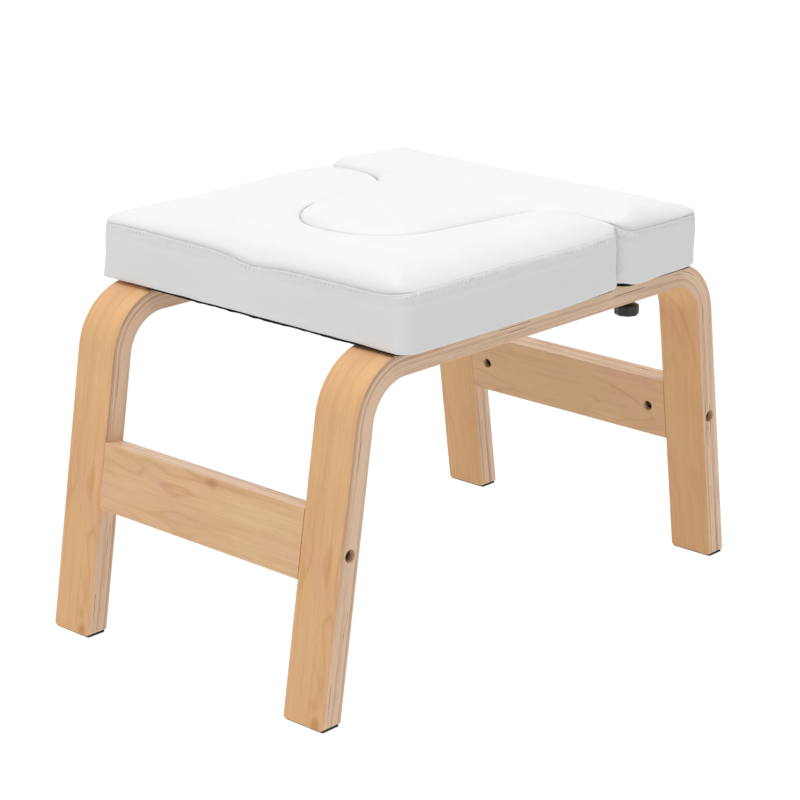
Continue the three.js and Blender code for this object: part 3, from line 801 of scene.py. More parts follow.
@dataclass(frozen=True)
class ZincSteel:
    """Zinc-plated steel with dull patches, and a fine screw thread for pieces that have one."""

    threaded: bool = False
    pitch: float = 1 * MM

    def build(self) -> Material:
        """Makes the material.

        Returns:
            The material.
        """
        shader = Surface("Threaded zinc steel" if self.threaded else "Zinc-plated steel")
        place = shader.place()
        patches = shader.noise(place, 260.0, 3.0, 0.6)
        colour = shader.ramp(patches, [(0.3, linear(168, 170, 174)), (0.7, linear(205, 206, 208))])
        rough = shader.fade(patches, 0.3, 0.7, 0.24, 0.42)
        normal = shader.bump(shader.noise(shader.stretched(place, (1.0, 1.0, 9.0)), 900.0), 0.03 * MM, 0.4)
        if self.threaded:
            height = shader.add("ShaderNodeSeparateXYZ", {0: place}).outputs[2]
            thread = shader.product(shader.math("PINGPONG", height, self.pitch / 2), 2 / self.pitch)
            normal = shader.bump(thread, 0.5 * MM, 1.0, normal)
        shader.set(Base_Color=colour, Metallic=1.0, Roughness=rough, Normal=normal)
        return shader.material


@dataclass(frozen=True)
class DarkSteel:
    """Steel darkened by an oxide bath, with dull brown patches."""

    def build(self) -> Material:
        """Makes the material.

        Returns:
            The material.
        """
        shader = Surface("Dark oxide steel")
        place = shader.place()
        patches = shader.noise(place, 320.0, 3.0, 0.6)
        colour = shader.ramp(patches, [(0.3, linear(44, 36, 32)), (0.7, linear(78, 66, 58))])
        marks = shader.noise(place, 1400.0, 2.0, 0.6)
        shader.set(Base_Color=colour, Metallic=0.8, Roughness=shader.fade(patches, 0.3, 0.7, 0.42, 0.6))
        shader.set(Normal=shader.bump(marks, 0.03 * MM, 0.4))
        return shader.material


@dataclass(frozen=True)
class FeltPad:
    """Dark pressed felt."""

    def build(self) -> Material:
        """Makes the material.

        Returns:
            The material.
        """
        shader = Surface("Dark felt")
        fibres = shader.noise(shader.place(), 1500.0, 5.0, 0.7, 1.5)
        colour = shader.ramp(fibres, [(0.3, linear(28, 25, 23)), (0.7, linear(58, 52, 48))])
        shader.set(Base_Color=colour, Roughness=0.95, Sheen_Weight=0.2)
        shader.set(Normal=shader.bump(fibres, 0.3 * MM, 0.8))
        return shader.material


@dataclass(frozen=True)
class RoughPly:
    """Unsanded plywood for pieces that nobody sees, read from the object's own coordinates."""

    scale: Triple = (8.0, 90.0, 400.0)

    def build(self) -> Material:
        """Makes the material.

        Returns:
            The material.
        """
        shader = Surface("Unsanded ply")
        streaks = shader.figure(shader.place(), self.scale, 4.0, 0.6, 0.8)
        colour = shader.ramp(streaks, [(0.3, linear(176, 140, 98)), (0.7, linear(214, 184, 142))])
        shader.set(Base_Color=colour, Roughness=0.72, Normal=shader.bump(streaks, 0.2 * MM, 0.5))
        return shader.material


def finish_piece(piece: Piece, material: Material) -> None:
    """Gives a piece one material."""
    piece.data.materials.clear()
    piece.data.materials.append(material)


def dress(piece: Piece, material: Material, body: str, node: str) -> Piece:
    """Finishes a small piece and puts it in a node's place.

    Args:
        piece: The piece.
        material: Its material.
        body: The body that it moves with.
        node: The node that it replaces.

    Returns:
        The piece.
    """
    finish_piece(piece, material)
    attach(piece, body)
    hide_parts(node)
    return piece


# The stool's sub-assemblies


class Place(Enum):
    """One of two opposite places: its word in node names, and its direction along an axis."""

    @property
    def label(self) -> str:
        """The word."""
        return self.value[0]

    @property
    def sign(self) -> int:
        """The direction."""
        return self.value[1]


class Side(Place):
    """The two bent frames, by the side of the stool that they stand on, and their directions along X."""

    RIGHT = ("right", 1)
    LEFT = ("left", -1)


class End(Place):
    """The two ends of the stool, and their directions along Y."""

    FRONT = ("front", -1)
    REAR = ("rear", 1)


@dataclass
class BentFrame:
    """One strip of plywood, bent into two splayed legs and the rail between them."""

    side: Side
    thickness: float = 23 * MM
    bend_radius: float = 65 * MM
    splay: float = math.radians(8.65)
    edge_radius: float = 0.9 * MM
    foot_corner_radius: float = 4 * MM
    foot_sink: float = 1.1 * MM
    bolt_hole_radius: float = 6 * MM
    bolt_hole_depth: float = 12 * MM
    bolt_hole_ease: float = 0.6 * MM
    bolt_height: float = 158 * MM
    bend_steps: int = 26
    rail_steps: int = 10
    low: Vector = field(init=False)
    high: Vector = field(init=False)

    def __post_init__(self) -> None:
        """Reads the strip's box from the frame, and lets the foot sink into its felt pad."""
        self.low, self.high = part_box(f"frame_{self.side.label}")
        self.low.z -= self.foot_sink

    @property
    def middle_radius(self) -> float:
        """The bend's radius at the middle of the thickness."""
        return self.bend_radius - self.thickness / 2

    @property
    def turn(self) -> float:
        """How far each bend turns."""
        return math.pi / 2 - self.splay

    @property
    def bend_height(self) -> float:
        """The height of the bends' centres."""
        return self.high.z - self.bend_radius

    @property
    def rail_half(self) -> float:
        """Half the rail's straight length: the foot's reach less the leg's lean and the bend's tangent."""
        corner = self.high.y - (self.high.z - self.low.z) * math.tan(self.splay)
        return corner - self.bend_radius * math.tan(self.turn / 2)

    @property
    def middle_x(self) -> float:
        """The middle of the strip's width."""
        return (self.low.x + self.high.x) / 2

    @property
    def half_width(self) -> float:
        """Half the strip's width."""
        return (self.high.x - self.low.x) / 2

    def section(self) -> Array:
        """Draws the strip's cross-section, as (through, across)."""
        return rounded_rectangle((self.thickness / 2, self.half_width), self.edge_radius, 4)

    def leg_rings(self, section: Array) -> Array:
        """Carries the section down one leg.

        A point goes straight down the leg's own direction until the level cut of the foot. Near the floor the
        width is limited by the quarter circles of the foot's corners.

        Args:
            section: The cross-section as (through, across).

        Returns:
            Points as (ring, point, [y, z, across]) for the leg at +Y, from the bend down.
        """
        through, across = section.T
        start_y = self.rail_half + (self.middle_radius + through) * math.sin(self.turn)
        start_z = self.bend_height + (self.middle_radius + through) * math.cos(self.turn)
        radius = self.foot_corner_radius
        above_foot = radius * np.array([1, 0.6, 0.3, 0.1, 0.0])
        shares = np.linspace(0, 1, 8)[1:-1, None]
        rows_high = start_z - (start_z - self.low.z) * shares
        rows_low = np.broadcast_to(self.low.z + above_foot[:, None], (len(above_foot), len(through)))
        height = np.concatenate([rows_high, rows_low])
        y = start_y + (start_z - height) * math.tan(self.splay)
        near = np.clip(radius - (height - self.low.z), 0, radius)
        inset = radius - np.sqrt(radius**2 - near**2)
        limited = np.sign(across) * np.minimum(np.abs(across), self.half_width - inset)
        return np.stack([y, height, limited], axis=-1)

    def half_rings(self, section: Array) -> Array:
        """Carries the section from the middle of the rail, round one bend and down its leg.

        Args:
            section: The cross-section as (through, across).

        Returns:
            Points as (ring, point, [y, z, across]) for the half at +Y.
        """
        through, across = section.T
        rail_y = np.linspace(0, self.rail_half, self.rail_steps + 1)[:-1, None] + 0 * through
        rail_z = self.high.z - self.thickness / 2 + through + 0 * rail_y
        angle = np.linspace(0, self.turn, self.bend_steps + 1)[:, None]
        bend_y = self.rail_half + (self.middle_radius + through) * np.sin(angle)
        bend_z = self.bend_height + (self.middle_radius + through) * np.cos(angle)
        y, z = np.concatenate([rail_y, bend_y]), np.concatenate([rail_z, bend_z])
        upper = np.stack([y, z, np.broadcast_to(across, y.shape)], axis=-1)
        return np.concatenate([upper, self.leg_rings(section)])

    def rings(self) -> Array:
        """Carries the section along the whole strip, from the rear foot to the front one.

        Returns:
            Points as (ring, point, xyz).
        """
        half = self.half_rings(self.section())
        mirrored = half[1:] * np.array([-1, 1, 1])
        whole = np.concatenate([half[::-1], mirrored])
        return np.stack([self.middle_x + whole[..., 2], whole[..., 0], whole[..., 1]], axis=-1)

    def grain(self, points: Array) -> Array:
        """Unrolls the strip: metres along it from the rail's middle, across it and through its thickness.

        On the rail a point's along is its Y. In a bend it is the angle times the middle radius. On a leg it
        is the distance down the leg. Through is the distance from the middle surface, outwards.

        Args:
            points: Points as rows.

        Returns:
            The grain vector of each point.
        """
        y, z = np.abs(points[:, 1]) - self.rail_half, points[:, 2] - self.bend_height
        angle = np.arctan2(y, z)
        out_leg = y * math.sin(self.turn) + z * math.cos(self.turn)
        down_leg = y * math.cos(self.turn) - z * math.sin(self.turn)
        on_rail, on_leg = y < 0, angle > self.turn
        past_rail = self.middle_radius * np.minimum(angle, self.turn) + np.where(on_leg, down_leg, 0)
        along = np.where(on_rail, y, past_rail)
        through = np.where(on_rail, z, np.where(on_leg, out_leg, np.hypot(y, z))) - self.middle_radius
        along = np.sign(points[:, 1] + 1e-9) * (along + self.rail_half)
        return np.stack([along, points[:, 0] - self.middle_x, through], axis=-1)

    def bolt_place(self, end: End) -> Vector:
        """Finds a bolt hole's place.

        Args:
            end: Which leg it is in.

        Returns:
            The middle of its mouth, half-way through the leg's thickness.
        """
        foot_middle = self.high.y - self.thickness / math.cos(self.splay) / 2
        y = foot_middle - (self.bolt_height - self.low.z) * math.tan(self.splay)
        return Vector((self.middle_x + self.side.sign * self.half_width, end.sign * y, self.bolt_height))

    def bolt_cutter(self, end: End) -> Piece:
        """Makes the body that sinks the bolt hole in one leg.

        Args:
            end: Which leg it is.

        Returns:
            The body.
        """
        facing = Matrix.Rotation(self.side.sign * math.pi / 2, 4, "Y")
        place = Matrix.Translation(self.bolt_place(end)) @ facing
        name = f"cutter_{self.side.label}_{end.label}"
        return drill(name, self.bolt_hole_radius, self.bolt_hole_depth, self.bolt_hole_ease, place)

    def build(self, material: Material) -> Piece:
        """Makes the strip with its two bolt holes.

        Args:
            material: Its ply.

        Returns:
            The strip.
        """
        points, faces = capped_rings(self.rings())
        piece = mesh_piece(f"bent_frame_{self.side.label}", points, faces)
        carve(piece, [self.bolt_cutter(end) for end in End])
        write_vectors(piece, "grain", self.grain(points_of(piece)))
        sharpen(piece, 35)
        finish_piece(piece, material)
        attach(piece, "stool")
        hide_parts(f"frame_{self.side.label}")
        return piece


@dataclass
class Stretcher:
    """One straight board between the two frames, leaning with the legs."""

    end: End
    thickness: float = 23 * MM
    height: float = 65 * MM
    splay: float = math.radians(8.65)
    edge_radius: float = 0.9 * MM
    barrel_inset: float = 22 * MM
    barrel_hole_radius: float = 5.1 * MM
    barrel_hole_depth: float = 18.8 * MM
    barrel_hole_ease: float = 0.5 * MM
    figure_shift: float = 0.37
    low: Vector = field(init=False)
    high: Vector = field(init=False)

    def __post_init__(self) -> None:
        """Reads the board's box from the frame."""
        self.low, self.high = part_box(f"stretcher_{self.end.label}")

    def matrix(self) -> Matrix:
        """Finds the board's place.

        Returns:
            The matrix that takes its own X along it, Y inwards and Z up the lean.
        """
        middle = (self.low + self.high) / 2
        facing = Matrix.Rotation(0 if self.end is End.FRONT else math.pi, 4, "Z")
        return Matrix.Translation(middle) @ facing @ Matrix.Rotation(-self.splay, 4, "X")

    def rings(self) -> Array:
        """Carries the board's section from its one end to the other.

        Returns:
            Points as (ring, point, xyz), in the board's own axes.
        """
        section = rounded_rectangle((self.thickness / 2, self.height / 2), self.edge_radius, 4)
        length = np.linspace(-0.5, 0.5, 5) * (self.high.x - self.low.x)
        x = np.broadcast_to(length[:, None], (len(length), len(section)))
        return np.stack([x, *np.broadcast_to(section.T[:, None], (2, *x.shape))], axis=-1)

    def barrel_cutter(self, sign: int) -> Piece:
        """Makes the body that sinks a barrel nut's hole from the inner face.

        Args:
            sign: Which end of the board it is near, along its own X.

        Returns:
            The body.
        """
        x = sign * ((self.high.x - self.low.x) / 2 + 0.3 * MM - self.barrel_inset)
        place = Matrix.Translation((x, self.thickness / 2, 0)) @ Matrix.Rotation(-math.pi / 2, 4, "X")
        name = f"barrel_cutter_{self.end.label}"
        return drill(name, self.barrel_hole_radius, self.barrel_hole_depth, self.barrel_hole_ease, place)

    def build(self, material: Material) -> Piece:
        """Makes the board with its two holes, in its own axes first and then in its place.

        Args:
            material: Its ply.

        Returns:
            The board.
        """
        points, faces = capped_rings(self.rings())
        piece = mesh_piece(f"stretcher_board_{self.end.label}", points, faces)
        carve(piece, [self.barrel_cutter(sign) for sign in (1, -1)])
        own = points_of(piece)
        along = own[:, 0] + self.figure_shift * self.end.sign
        write_vectors(piece, "grain", np.stack([along, own[:, 2], own[:, 1]], axis=-1))
        piece.data.transform(self.matrix())
        sharpen(piece, 35)
        finish_piece(piece, material)
        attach(piece, "stool")
        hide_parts(f"stretcher_{self.end.label}")
        return piece


class Kind(Enum):
    """The two cushions."""

    SHOULDER = "shoulder"
    INSERT = "insert"

    @property
    def body(self) -> str:
        """The body that the cushion moves with."""
        return "stool" if self is Kind.SHOULDER else "seat_insert"


@dataclass(frozen=True)
class Corner:
    """One corner of a cushion, with its fillets at the underside, half-way up, at the seam and on the crown.

    The crown's is wide enough for the rings that are drawn in there.
    """

    x: float
    y: float
    base: float
    side: float
    seam: float
    crown: float
    steps: int


@dataclass(frozen=True)
class Swell:
    """A place where something stands higher in a bell's shape, or lower where the rise is negative."""

    x: float
    y: float
    reach: float
    rise: float

    def over(self, points: Array) -> Array:
        """Gives the rise at each point: it falls with the square of the distance over the reach."""
        away = np.hypot(points[:, 0] - self.x, points[:, 1] - self.y)
        return self.rise * np.exp(-((away / self.reach) ** 2))


class Level(Enum):
    """The heights at which a cushion's corners have fillets of their own."""

    BASE = "base"
    SIDE = "side"
    SEAM = "seam"
    CROWN = "crown"


@dataclass(frozen=True)
class Settling:
    """A short cloth run in which the foam's push rounds a cover between the places where it is held.

    The cover's closed copy is remeshed into even cells and blown up with its base held. Where the cells went
    is then carried over to the sewn cover, smoothly.
    """

    cell: float = 5 * MM
    pressure: float = 4.0
    frames: int = 20
    reach: float = 9 * MM
    limit: float = 1.2 * MM

    def cells(self, points: Array, faces: Faces) -> Piece:
        """Makes the copy, remeshed into even cells.

        Args:
            points: The cover's points.
            faces: The closed copy's faces.

        Returns:
            The copy.
        """
        copy = mesh_piece("settling_copy", points, faces)
        remesh = copy.modifiers.new("Even cells", "REMESH")
        remesh.mode = "VOXEL"
        remesh.voxel_size = self.cell
        apply_modifiers(copy)
        return copy

    def blow_up(self, copy: Piece, held: Array) -> Array:
        """Runs the cloth on the copy and returns where its points end.

        Args:
            copy: The remeshed copy.
            held: The numbers of the points that stay where they are.

        Returns:
            The points after the last frame.
        """
        copy.vertex_groups.new(name="held").add(held.tolist(), 1.0, "REPLACE")
        cloth = copy.modifiers.new("Cover", "CLOTH")
        settings = cloth.settings
        settings.quality = 5
        settings.mass = 0.3
        settings.tension_stiffness = settings.compression_stiffness = settings.shear_stiffness = 40.0
        settings.bending_stiffness = 1.0
        settings.use_pressure = True
        settings.uniform_pressure_force = self.pressure
        settings.vertex_group_mass = "held"
        settings.effector_weights.gravity = 0.0
        cloth.point_cache.frame_start = 1
        cloth.point_cache.frame_end = self.frames
        scene = bpy.context.scene
        for number in range(1, self.frames + 1):
            scene.frame_set(number)
        apply_modifiers(copy)
        scene.frame_set(1)
        return points_of(copy)

    def moves(self, points: Array, faces: Faces, held_below: float) -> Array:
        """Gives how far each point of the cover moves.

        A point's move is the mean of the cells' moves, weighted by a bell of their distance. All are scaled
        so that one in twenty reaches the limit, and none passes one and a half of it.

        Args:
            points: The cover's points.
            faces: The closed copy's faces.
            held_below: The height under which the cloth is held.

        Returns:
            One move a point, as rows of x, y and z.
        """
        copy = self.cells(points, faces)
        start = points_of(copy)
        end = self.blow_up(copy, np.flatnonzero(start[:, 2] < held_below))
        bpy.data.objects.remove(copy)
        moved = end - start
        size = np.linalg.norm(moved, axis=1)
        moved *= self.limit / max(float(np.percentile(size, 95)), 1e-9)
        size = np.linalg.norm(moved, axis=1, keepdims=True)
        moved *= np.minimum(1.0, 1.5 * self.limit / np.maximum(size, 1e-9))
        start, moved = start[::2].astype(np.float32), moved[::2].astype(np.float32)
        carried = []
        for part in np.array_split(points.astype(np.float32), max(len(points) // 400, 1)):
            away = (part**2).sum(axis=1)[:, None] + (start**2).sum(axis=1)[None] - 2 * part @ start.T
            weight = np.exp(-np.maximum(away, 0) / self.reach**2)
            carried.append((weight @ moved) / np.maximum(weight.sum(axis=1, keepdims=True), 1e-6))
        return np.concatenate(carried).astype(float)


@dataclass
class Cushion:
    """One upholstered cushion: foam on a board under a sewn cover, with a seam round its crowned top.

    Its outline is a row of filleted corners. Each ring of the cover is that outline drawn in by an inset at a
    height. The crown's height is a function of the distance to the outline. The hem, the welt and the front
    seam's dip are pairs of millimetres: inset and height, inset and height over the seam, and X and rise.
    """

    kind: Kind
    gap: float = 1 * MM
    insert_depth: float = 125 * MM
    bar_depth: float = 105 * MM
    root_half: float = 97 * MM
    tip_half: float = 71 * MM
    tip_radius: float = 70 * MM
    left_tip_radius: float = 84 * MM
    root_radius: float = 35 * MM
    left_root_radius: float = 57 * MM
    seam_rise: float = 54 * MM
    crown_rise: float = 11.1 * MM
    crown_reach: float = 37 * MM
    crown_power: float = 2.3
    soft_power: float = 1.9
    soft_rise: float = 7.0 * MM
    flat_powers: tuple[float, float] = (2.0, 0.88)
    flat_rise: float = 5.0 * MM
    soft_reach: float = 62 * MM
    divide_power: float = 2.0
    divide_rises: tuple[float, float] = (2.4 * MM, 4.6 * MM)
    divide_reach: float = 40 * MM
    shoulder_seam_rises: tuple[float, float] = (5.7 * MM, 3.5 * MM)
    insert_seam_rises: tuple[float, float] = (4.8 * MM, 7.0 * MM)
    dome_rise: float = 1.3 * MM
    dome_reach: float = 60 * MM
    waist: float = 1.5 * MM
    cap_inset: float = 17 * MM
    cap_spacing: float = 6 * MM
    cap_smoothing: int = 6
    spacing: float = 3 * MM
    join_x: float = 12 * MM
    waist_share: float = 0.55
    hem: Pairs = ((20.0, 0.9), (12.0, 0.5), (6.0, 0.2), (3.4, 0.0), (1.9, 0.15), (0.8, 0.7), (0.2, 1.8))
    welt: Pairs = (
        (-0.3, -2.2), (-0.5, -1.5), (-0.35, -0.95), (0.2, -0.4),
        (0.6, -0.05), (0.55, 0.2), (0.3, 0.5), (0.2, 0.9),
    )
    crown_insets: tuple[float, ...] = (0.4, 0.8, 1.4, 2.3, 3.6, 5.5, 8.0, 10.8, 13.8, 17.0)
    front_seam: Pairs = (
        (-190, -0.4), (-160, 0.0), (-121, 0.3), (-83, -0.3), (-45, -1.0), (-22, -2.3), (-8, -5.2),
        (9, -7.0), (27, -5.7), (48, -4.0), (75, -3.5), (115, -3.2), (160, -3.4), (180, -1.8),
    )
    settling: Settling = Settling()

    def __post_init__(self) -> None:
        """Reads the cushions' outer edges and underside from the frame."""
        shoulder_low, shoulder_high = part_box("shoulder_cover")
        _, insert_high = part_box("insert_cover")
        self.half_x = (shoulder_high.x - shoulder_low.x) / 2
        self.half_y = insert_high.y
        self.bottom = shoulder_low.z
        self.divide_y = self.half_y - self.insert_depth
        self.tip_y = self.bar_depth - self.half_y

    @property
    def is_shoulder(self) -> bool:
        """Whether this is the horseshoe."""
        return self.kind is Kind.SHOULDER

    def corners(self) -> list[Corner]:
        """Lists the outline's corners, half a gap outside the cover.

        The covers are sewn by hand, so the fillets differ a little from corner to corner.

        Returns:
            The corners, anticlockwise.
        """
        x, y = self.half_x + self.gap / 2, self.half_y + self.gap / 2
        root, tip = [self.root_radius] * 4, [self.tip_radius] * 4
        left_root = [root[0], root[0] + 4 * MM, self.left_root_radius, self.left_root_radius]
        left_tip = [tip[0], tip[0] + 4 * MM, self.left_tip_radius, self.left_tip_radius]
        right = [
            Corner(self.root_half, self.divide_y, *root, 16),
            Corner(self.tip_half, self.tip_y, *tip, 36),
        ]
        left = [
            Corner(-self.tip_half, self.tip_y, *left_tip, 36),
            Corner(-self.root_half, self.divide_y, *left_root, 20),
        ]
        if self.is_shoulder:
            return [
                Corner(-x, -y, 5 * MM, 9 * MM, 13 * MM, 26 * MM, 18),
                Corner(x, -y, 16 * MM, 18 * MM, 27 * MM, 34 * MM, 18),
                Corner(x, self.divide_y, 17 * MM, 18 * MM, 21 * MM, 30 * MM, 18),
                *right,
                *left,
                Corner(-x, self.divide_y, 12 * MM, 13 * MM, 18 * MM, 36 * MM, 18),
            ]
        return [
            Corner(-x, self.divide_y, 12 * MM, 12 * MM, 14 * MM, 25 * MM, 18),
            *reversed(left),
            *reversed(right),
            Corner(x, self.divide_y, 17 * MM, 17 * MM, 26 * MM, 32 * MM, 18),
            Corner(x, y, 20 * MM, 16 * MM, 21 * MM, 40 * MM, 18),
            Corner(-x, y, 16 * MM, 14 * MM, 20 * MM, 50 * MM, 18),
        ]

    def lifts(self) -> list[Swell]:
        """Lists where the cover's lower edge leaves its level.

        Returns:
            The places, with how far it is lifted there.
        """
        edge, rear = self.half_x, self.half_y
        if self.is_shoulder:
            places = [(side.sign * edge, y * MM) for side in Side for y in (-190, -140, -90, -40, 10)]
            hanging = [Swell(x, y, 42 * MM, -1.5 * MM) for x, y in places]
            return [*hanging, Swell(edge, self.divide_y, 14 * MM, 1.5 * MM)]
        hanging = [Swell(side.sign * edge, 122 * MM, 20 * MM, -1.4 * MM) for side in Side]
        tucked = [Swell(side.sign * edge, rear, 26 * MM, 1.2 * MM) for side in Side]
        return [*hanging, *tucked, Swell(edge, self.divide_y, 15 * MM, 3.4 * MM)]

    def outline(self, level: Level) -> tuple[Array, Array]:
        """Draws the cushion's outline with filleted corners.

        Every level gives the same number of points, so that rings match point by point: each arc has its own
        steps, and each straight stretch is cut at a spacing taken from the sharp outline. A fillet's arc is
        its start spoke turned about its centre.

        Args:
            level: Which of the corners' fillets to use.

        Returns:
            The points and their inward normals, as rows of x and y.
        """
        corners = self.corners()
        places = np.array([(corner.x, corner.y) for corner in corners])
        ahead = np.roll(places, -1, axis=0) - places
        lengths = np.linalg.norm(ahead, axis=1)
        ahead /= lengths[:, None]
        arcs: list[tuple[Array, Array]] = []
        for index, corner in enumerate(corners):
            before, after = ahead[index - 1], ahead[index]
            turn = 1 if before[0] * after[1] - before[1] * after[0] > 0 else -1
            angle = math.acos(np.clip(before @ after, -1, 1))
            inward = np.array([-before[1], before[0]])
            inward_after = np.array([-after[1], after[0]])
            moved = places[index] + (inward + inward_after) / (1 + before @ after) * self.gap / 2
            fillet = max(getattr(corner, level.value) - turn * self.gap / 2, 0.5 * MM)
            start = moved - before * fillet * math.tan(angle / 2)
            centre = start + turn * fillet * inward
            sweep = turn * angle * np.linspace(0, 1, corner.steps + 1)
            turned = np.stack([np.cos(sweep), np.sin(sweep)], axis=-1)
            arcs.append((centre + rotated(start - centre, turned), rotated(inward, turned)))
        points, normals = [], []
        for index, (arc, normal) in enumerate(arcs):
            following = arcs[(index + 1) % len(arcs)][0][0]
            steps = max(int(lengths[index] * 0.85 / self.spacing), 4)
            share = np.linspace(0, 1, steps + 1)[1:-1, None]
            points += [arc, arc[-1] + (following - arc[-1]) * share]
            normals += [normal, np.broadcast_to(normal[-1], (steps - 1, 2))]
        return np.concatenate(points), np.concatenate(normals)

    def front_share(self, outline: Array, normals: Array) -> Array:
        """Gives 1 on the straight front side and less round its corners."""
        return np.clip(normals[:, 1], 0, 1) ** 3 * (outline[:, 1] < self.tip_y - 5 * MM)

    def flank_share(self, outline: Array, normals: Array) -> Array:
        """Gives 1 on the two outer flanks and less round their corners."""
        return np.clip(np.abs(normals[:, 0]), 0, 1) ** 3 * (np.abs(outline[:, 0]) > self.half_x - 25 * MM)

    def seam_height(self, outline: Array, normals: Array) -> Array:
        """Gives the seam's height above the cover's underside, all round.

        It wanders a little, and along the dividing line it is high, by one rise on the left and another on
        the right, with an even change from one to the other. The horseshoe's is a touch high on its flanks,
        and on its front side it dips to a soft point where the side panel is joined.

        Args:
            outline: The outline's points.
            normals: Their inward normals.

        Returns:
            One height a point.
        """
        height = self.seam_rise + 0.3 * MM * ripple(outline, 90 * MM, 5)
        left, right = self.shoulder_seam_rises if self.is_shoulder else self.insert_seam_rises
        beside = np.clip((10 * MM - outline[:, 0]) / (60 * MM), 0, 1)
        if self.is_shoulder:
            beside *= np.clip((self.divide_y - outline[:, 1]) / (40 * MM), 0, 1)
            beside *= np.clip((outline[:, 1] + 100 * MM) / (40 * MM), 0, 1)
        height += self.eased((right + (left - right) * beside) * self.divide_share(outline), 14)
        if not self.is_shoulder:
            return height - 1.4 * MM
        flank = self.flank_share(outline, normals)
        height += flank * (0.8 * MM - 0.5 * MM * np.tanh((outline[:, 1] + 15 * MM) / (18 * MM)))
        height -= 1.6 * MM * self.right_share(outline, normals)
        height += Swell(self.half_x, 75 * MM, 35 * MM, 1.6 * MM).over(outline)
        stops, rises = np.array(self.front_seam).T * MM
        return height + self.front_share(outline, normals) * np.interp(outline[:, 0], stops, rises)

    @staticmethod
    def eased(share: Array, steps: int = 6) -> Array:
        """Spreads each point's value over its neighbours round the outline.

        Args:
            share: One value a point.
            steps: How often it is done.

        Returns:
            The new values.
        """
        for _ in range(steps):
            share = (np.roll(share, 1) + 2 * share + np.roll(share, -1)) / 4
        return share

    def right_share(self, outline: Array, normals: Array) -> Array:
        """Gives 1 on the right flank and less round its corners."""
        return self.flank_share(outline, normals) * (outline[:, 0] > 0)

    def shoulder(self, outline: Array, normals: Array) -> Array:
        """Gives the shoulder's form all round: wide in front and on the right flank, and tight at the divide.

        Args:
            outline: The outline's points.
            normals: Their inward normals.

        Returns:
            The crown's two powers and its extra rise, as rows of three.
        """
        front = self.eased(self.front_share(outline, normals) ** (2 / 3), 40)[:, None]
        right = self.eased(self.right_share(outline, normals) ** (2 / 3), 40)[:, None]
        divide = self.eased(self.divide_share(outline))[:, None]
        full = np.array([self.crown_power, 1 / self.crown_power, 0.0])
        wide = np.array([self.soft_power, 1 / self.soft_power, self.soft_rise])
        flat = np.array([*self.flat_powers, self.flat_rise]) if self.is_shoulder else wide
        tight = np.array([self.divide_power, 1 / self.divide_power, 0.0])
        shape = full + (wide - full) * front + (flat - full) * right
        shape[:, 2] *= np.clip((outline[:, 0] + self.half_x) / (90 * MM), 0, 1) ** 0.7
        return shape + (tight - shape) * divide

    def lean(self, outline: Array, normals: Array) -> Array:
        """Gives how far the side panel's top leans in to the seam, all round.

        Args:
            outline: The outline's points.
            normals: Their inward normals.

        Returns:
            One distance a point.
        """
        flank = self.flank_share(outline, normals)
        divide = self.eased(self.divide_share(outline))
        if not self.is_shoulder:
            return (0.7 * MM + 0.6 * MM * flank) * (1 - divide)
        front = self.front_share(outline, normals)
        left = np.clip(0.5 - outline[:, 0] / self.half_x, 0, 1)
        right = self.right_share(outline, normals)
        outer = 0.8 * MM + 1.5 * MM * flank + 3.4 * MM * right + front * (0.2 * MM + 0.9 * MM * left)
        return outer * (1 - divide)

    @staticmethod
    def leaned(share: float) -> float:
        """Gives how much of the lean is reached at a share of the side's height: it starts at 0.68 of it."""
        return max((share - 0.68) / 0.32, 0.0) ** 1.5

    def lower_edge(self, outline: Array) -> Array:
        """Gives how far the cover's lower edge is lifted, all round: the sum of the listed lifts.

        Args:
            outline: The outline's points.

        Returns:
            One rise a point.
        """
        rise = 0.25 * MM * ripple(outline, 45 * MM, 17)
        for lift in self.lifts():
            rise += lift.over(outline)
        return rise

    def crown_share(self, distance: Array, shape: Array) -> Array:
        """Gives how much of the crown's rise is reached at a distance from the outline.

        It is (1 - (1 - d)^p)^q, with d the distance over the crown's reach, up to 1, and p and q the
        shoulder's two powers. With q = 1 / p it is a flattened quarter circle, and with p = 2 and q = 1 a
        parabola.

        Args:
            distance: Metres from the outline at each point.
            shape: The shoulder's powers and extra rise there, as rows of three.

        Returns:
            One share a point.
        """
        reach = np.clip(distance / self.crown_reach, 0, 1)
        return (1 - (1 - reach) ** shape[:, 0]) ** shape[:, 1]

    def swells(self) -> list[Swell]:
        """Lists where the foam stands high or low under the cover.

        Returns:
            The places, with how far the cover rises there.
        """
        edge, rear = self.half_x, self.half_y
        if self.is_shoulder:
            return [
                Swell(-edge, -150 * MM, 70 * MM, 1.6 * MM),
                Swell(-edge, 20 * MM, 60 * MM, 3.8 * MM),
                Swell(-edge, 95 * MM, 40 * MM, -4.4 * MM),
                Swell(-120 * MM, 90 * MM, 30 * MM, -2.0 * MM),
                Swell(80 * MM, -40 * MM, 30 * MM, 1.0 * MM),
                Swell(88 * MM, 30 * MM, 40 * MM, 0.8 * MM),
                Swell(125 * MM, 90 * MM, 45 * MM, 1.7 * MM),
                Swell(edge, 95 * MM, 26 * MM, -3.5 * MM),
            ]
        return [
            Swell(-edge, 120 * MM, 60 * MM, 2.4 * MM),
            Swell(-edge, 185 * MM, 55 * MM, 4.0 * MM),
            Swell(-105 * MM, 60 * MM, 50 * MM, 4.6 * MM),
            Swell(-165 * MM, rear, 40 * MM, -3.0 * MM),
            Swell(-60 * MM, rear, 60 * MM, -1.6 * MM),
            Swell(50 * MM, rear, 60 * MM, -1.6 * MM),
            Swell(edge, rear, 55 * MM, -6.0 * MM),
        ]

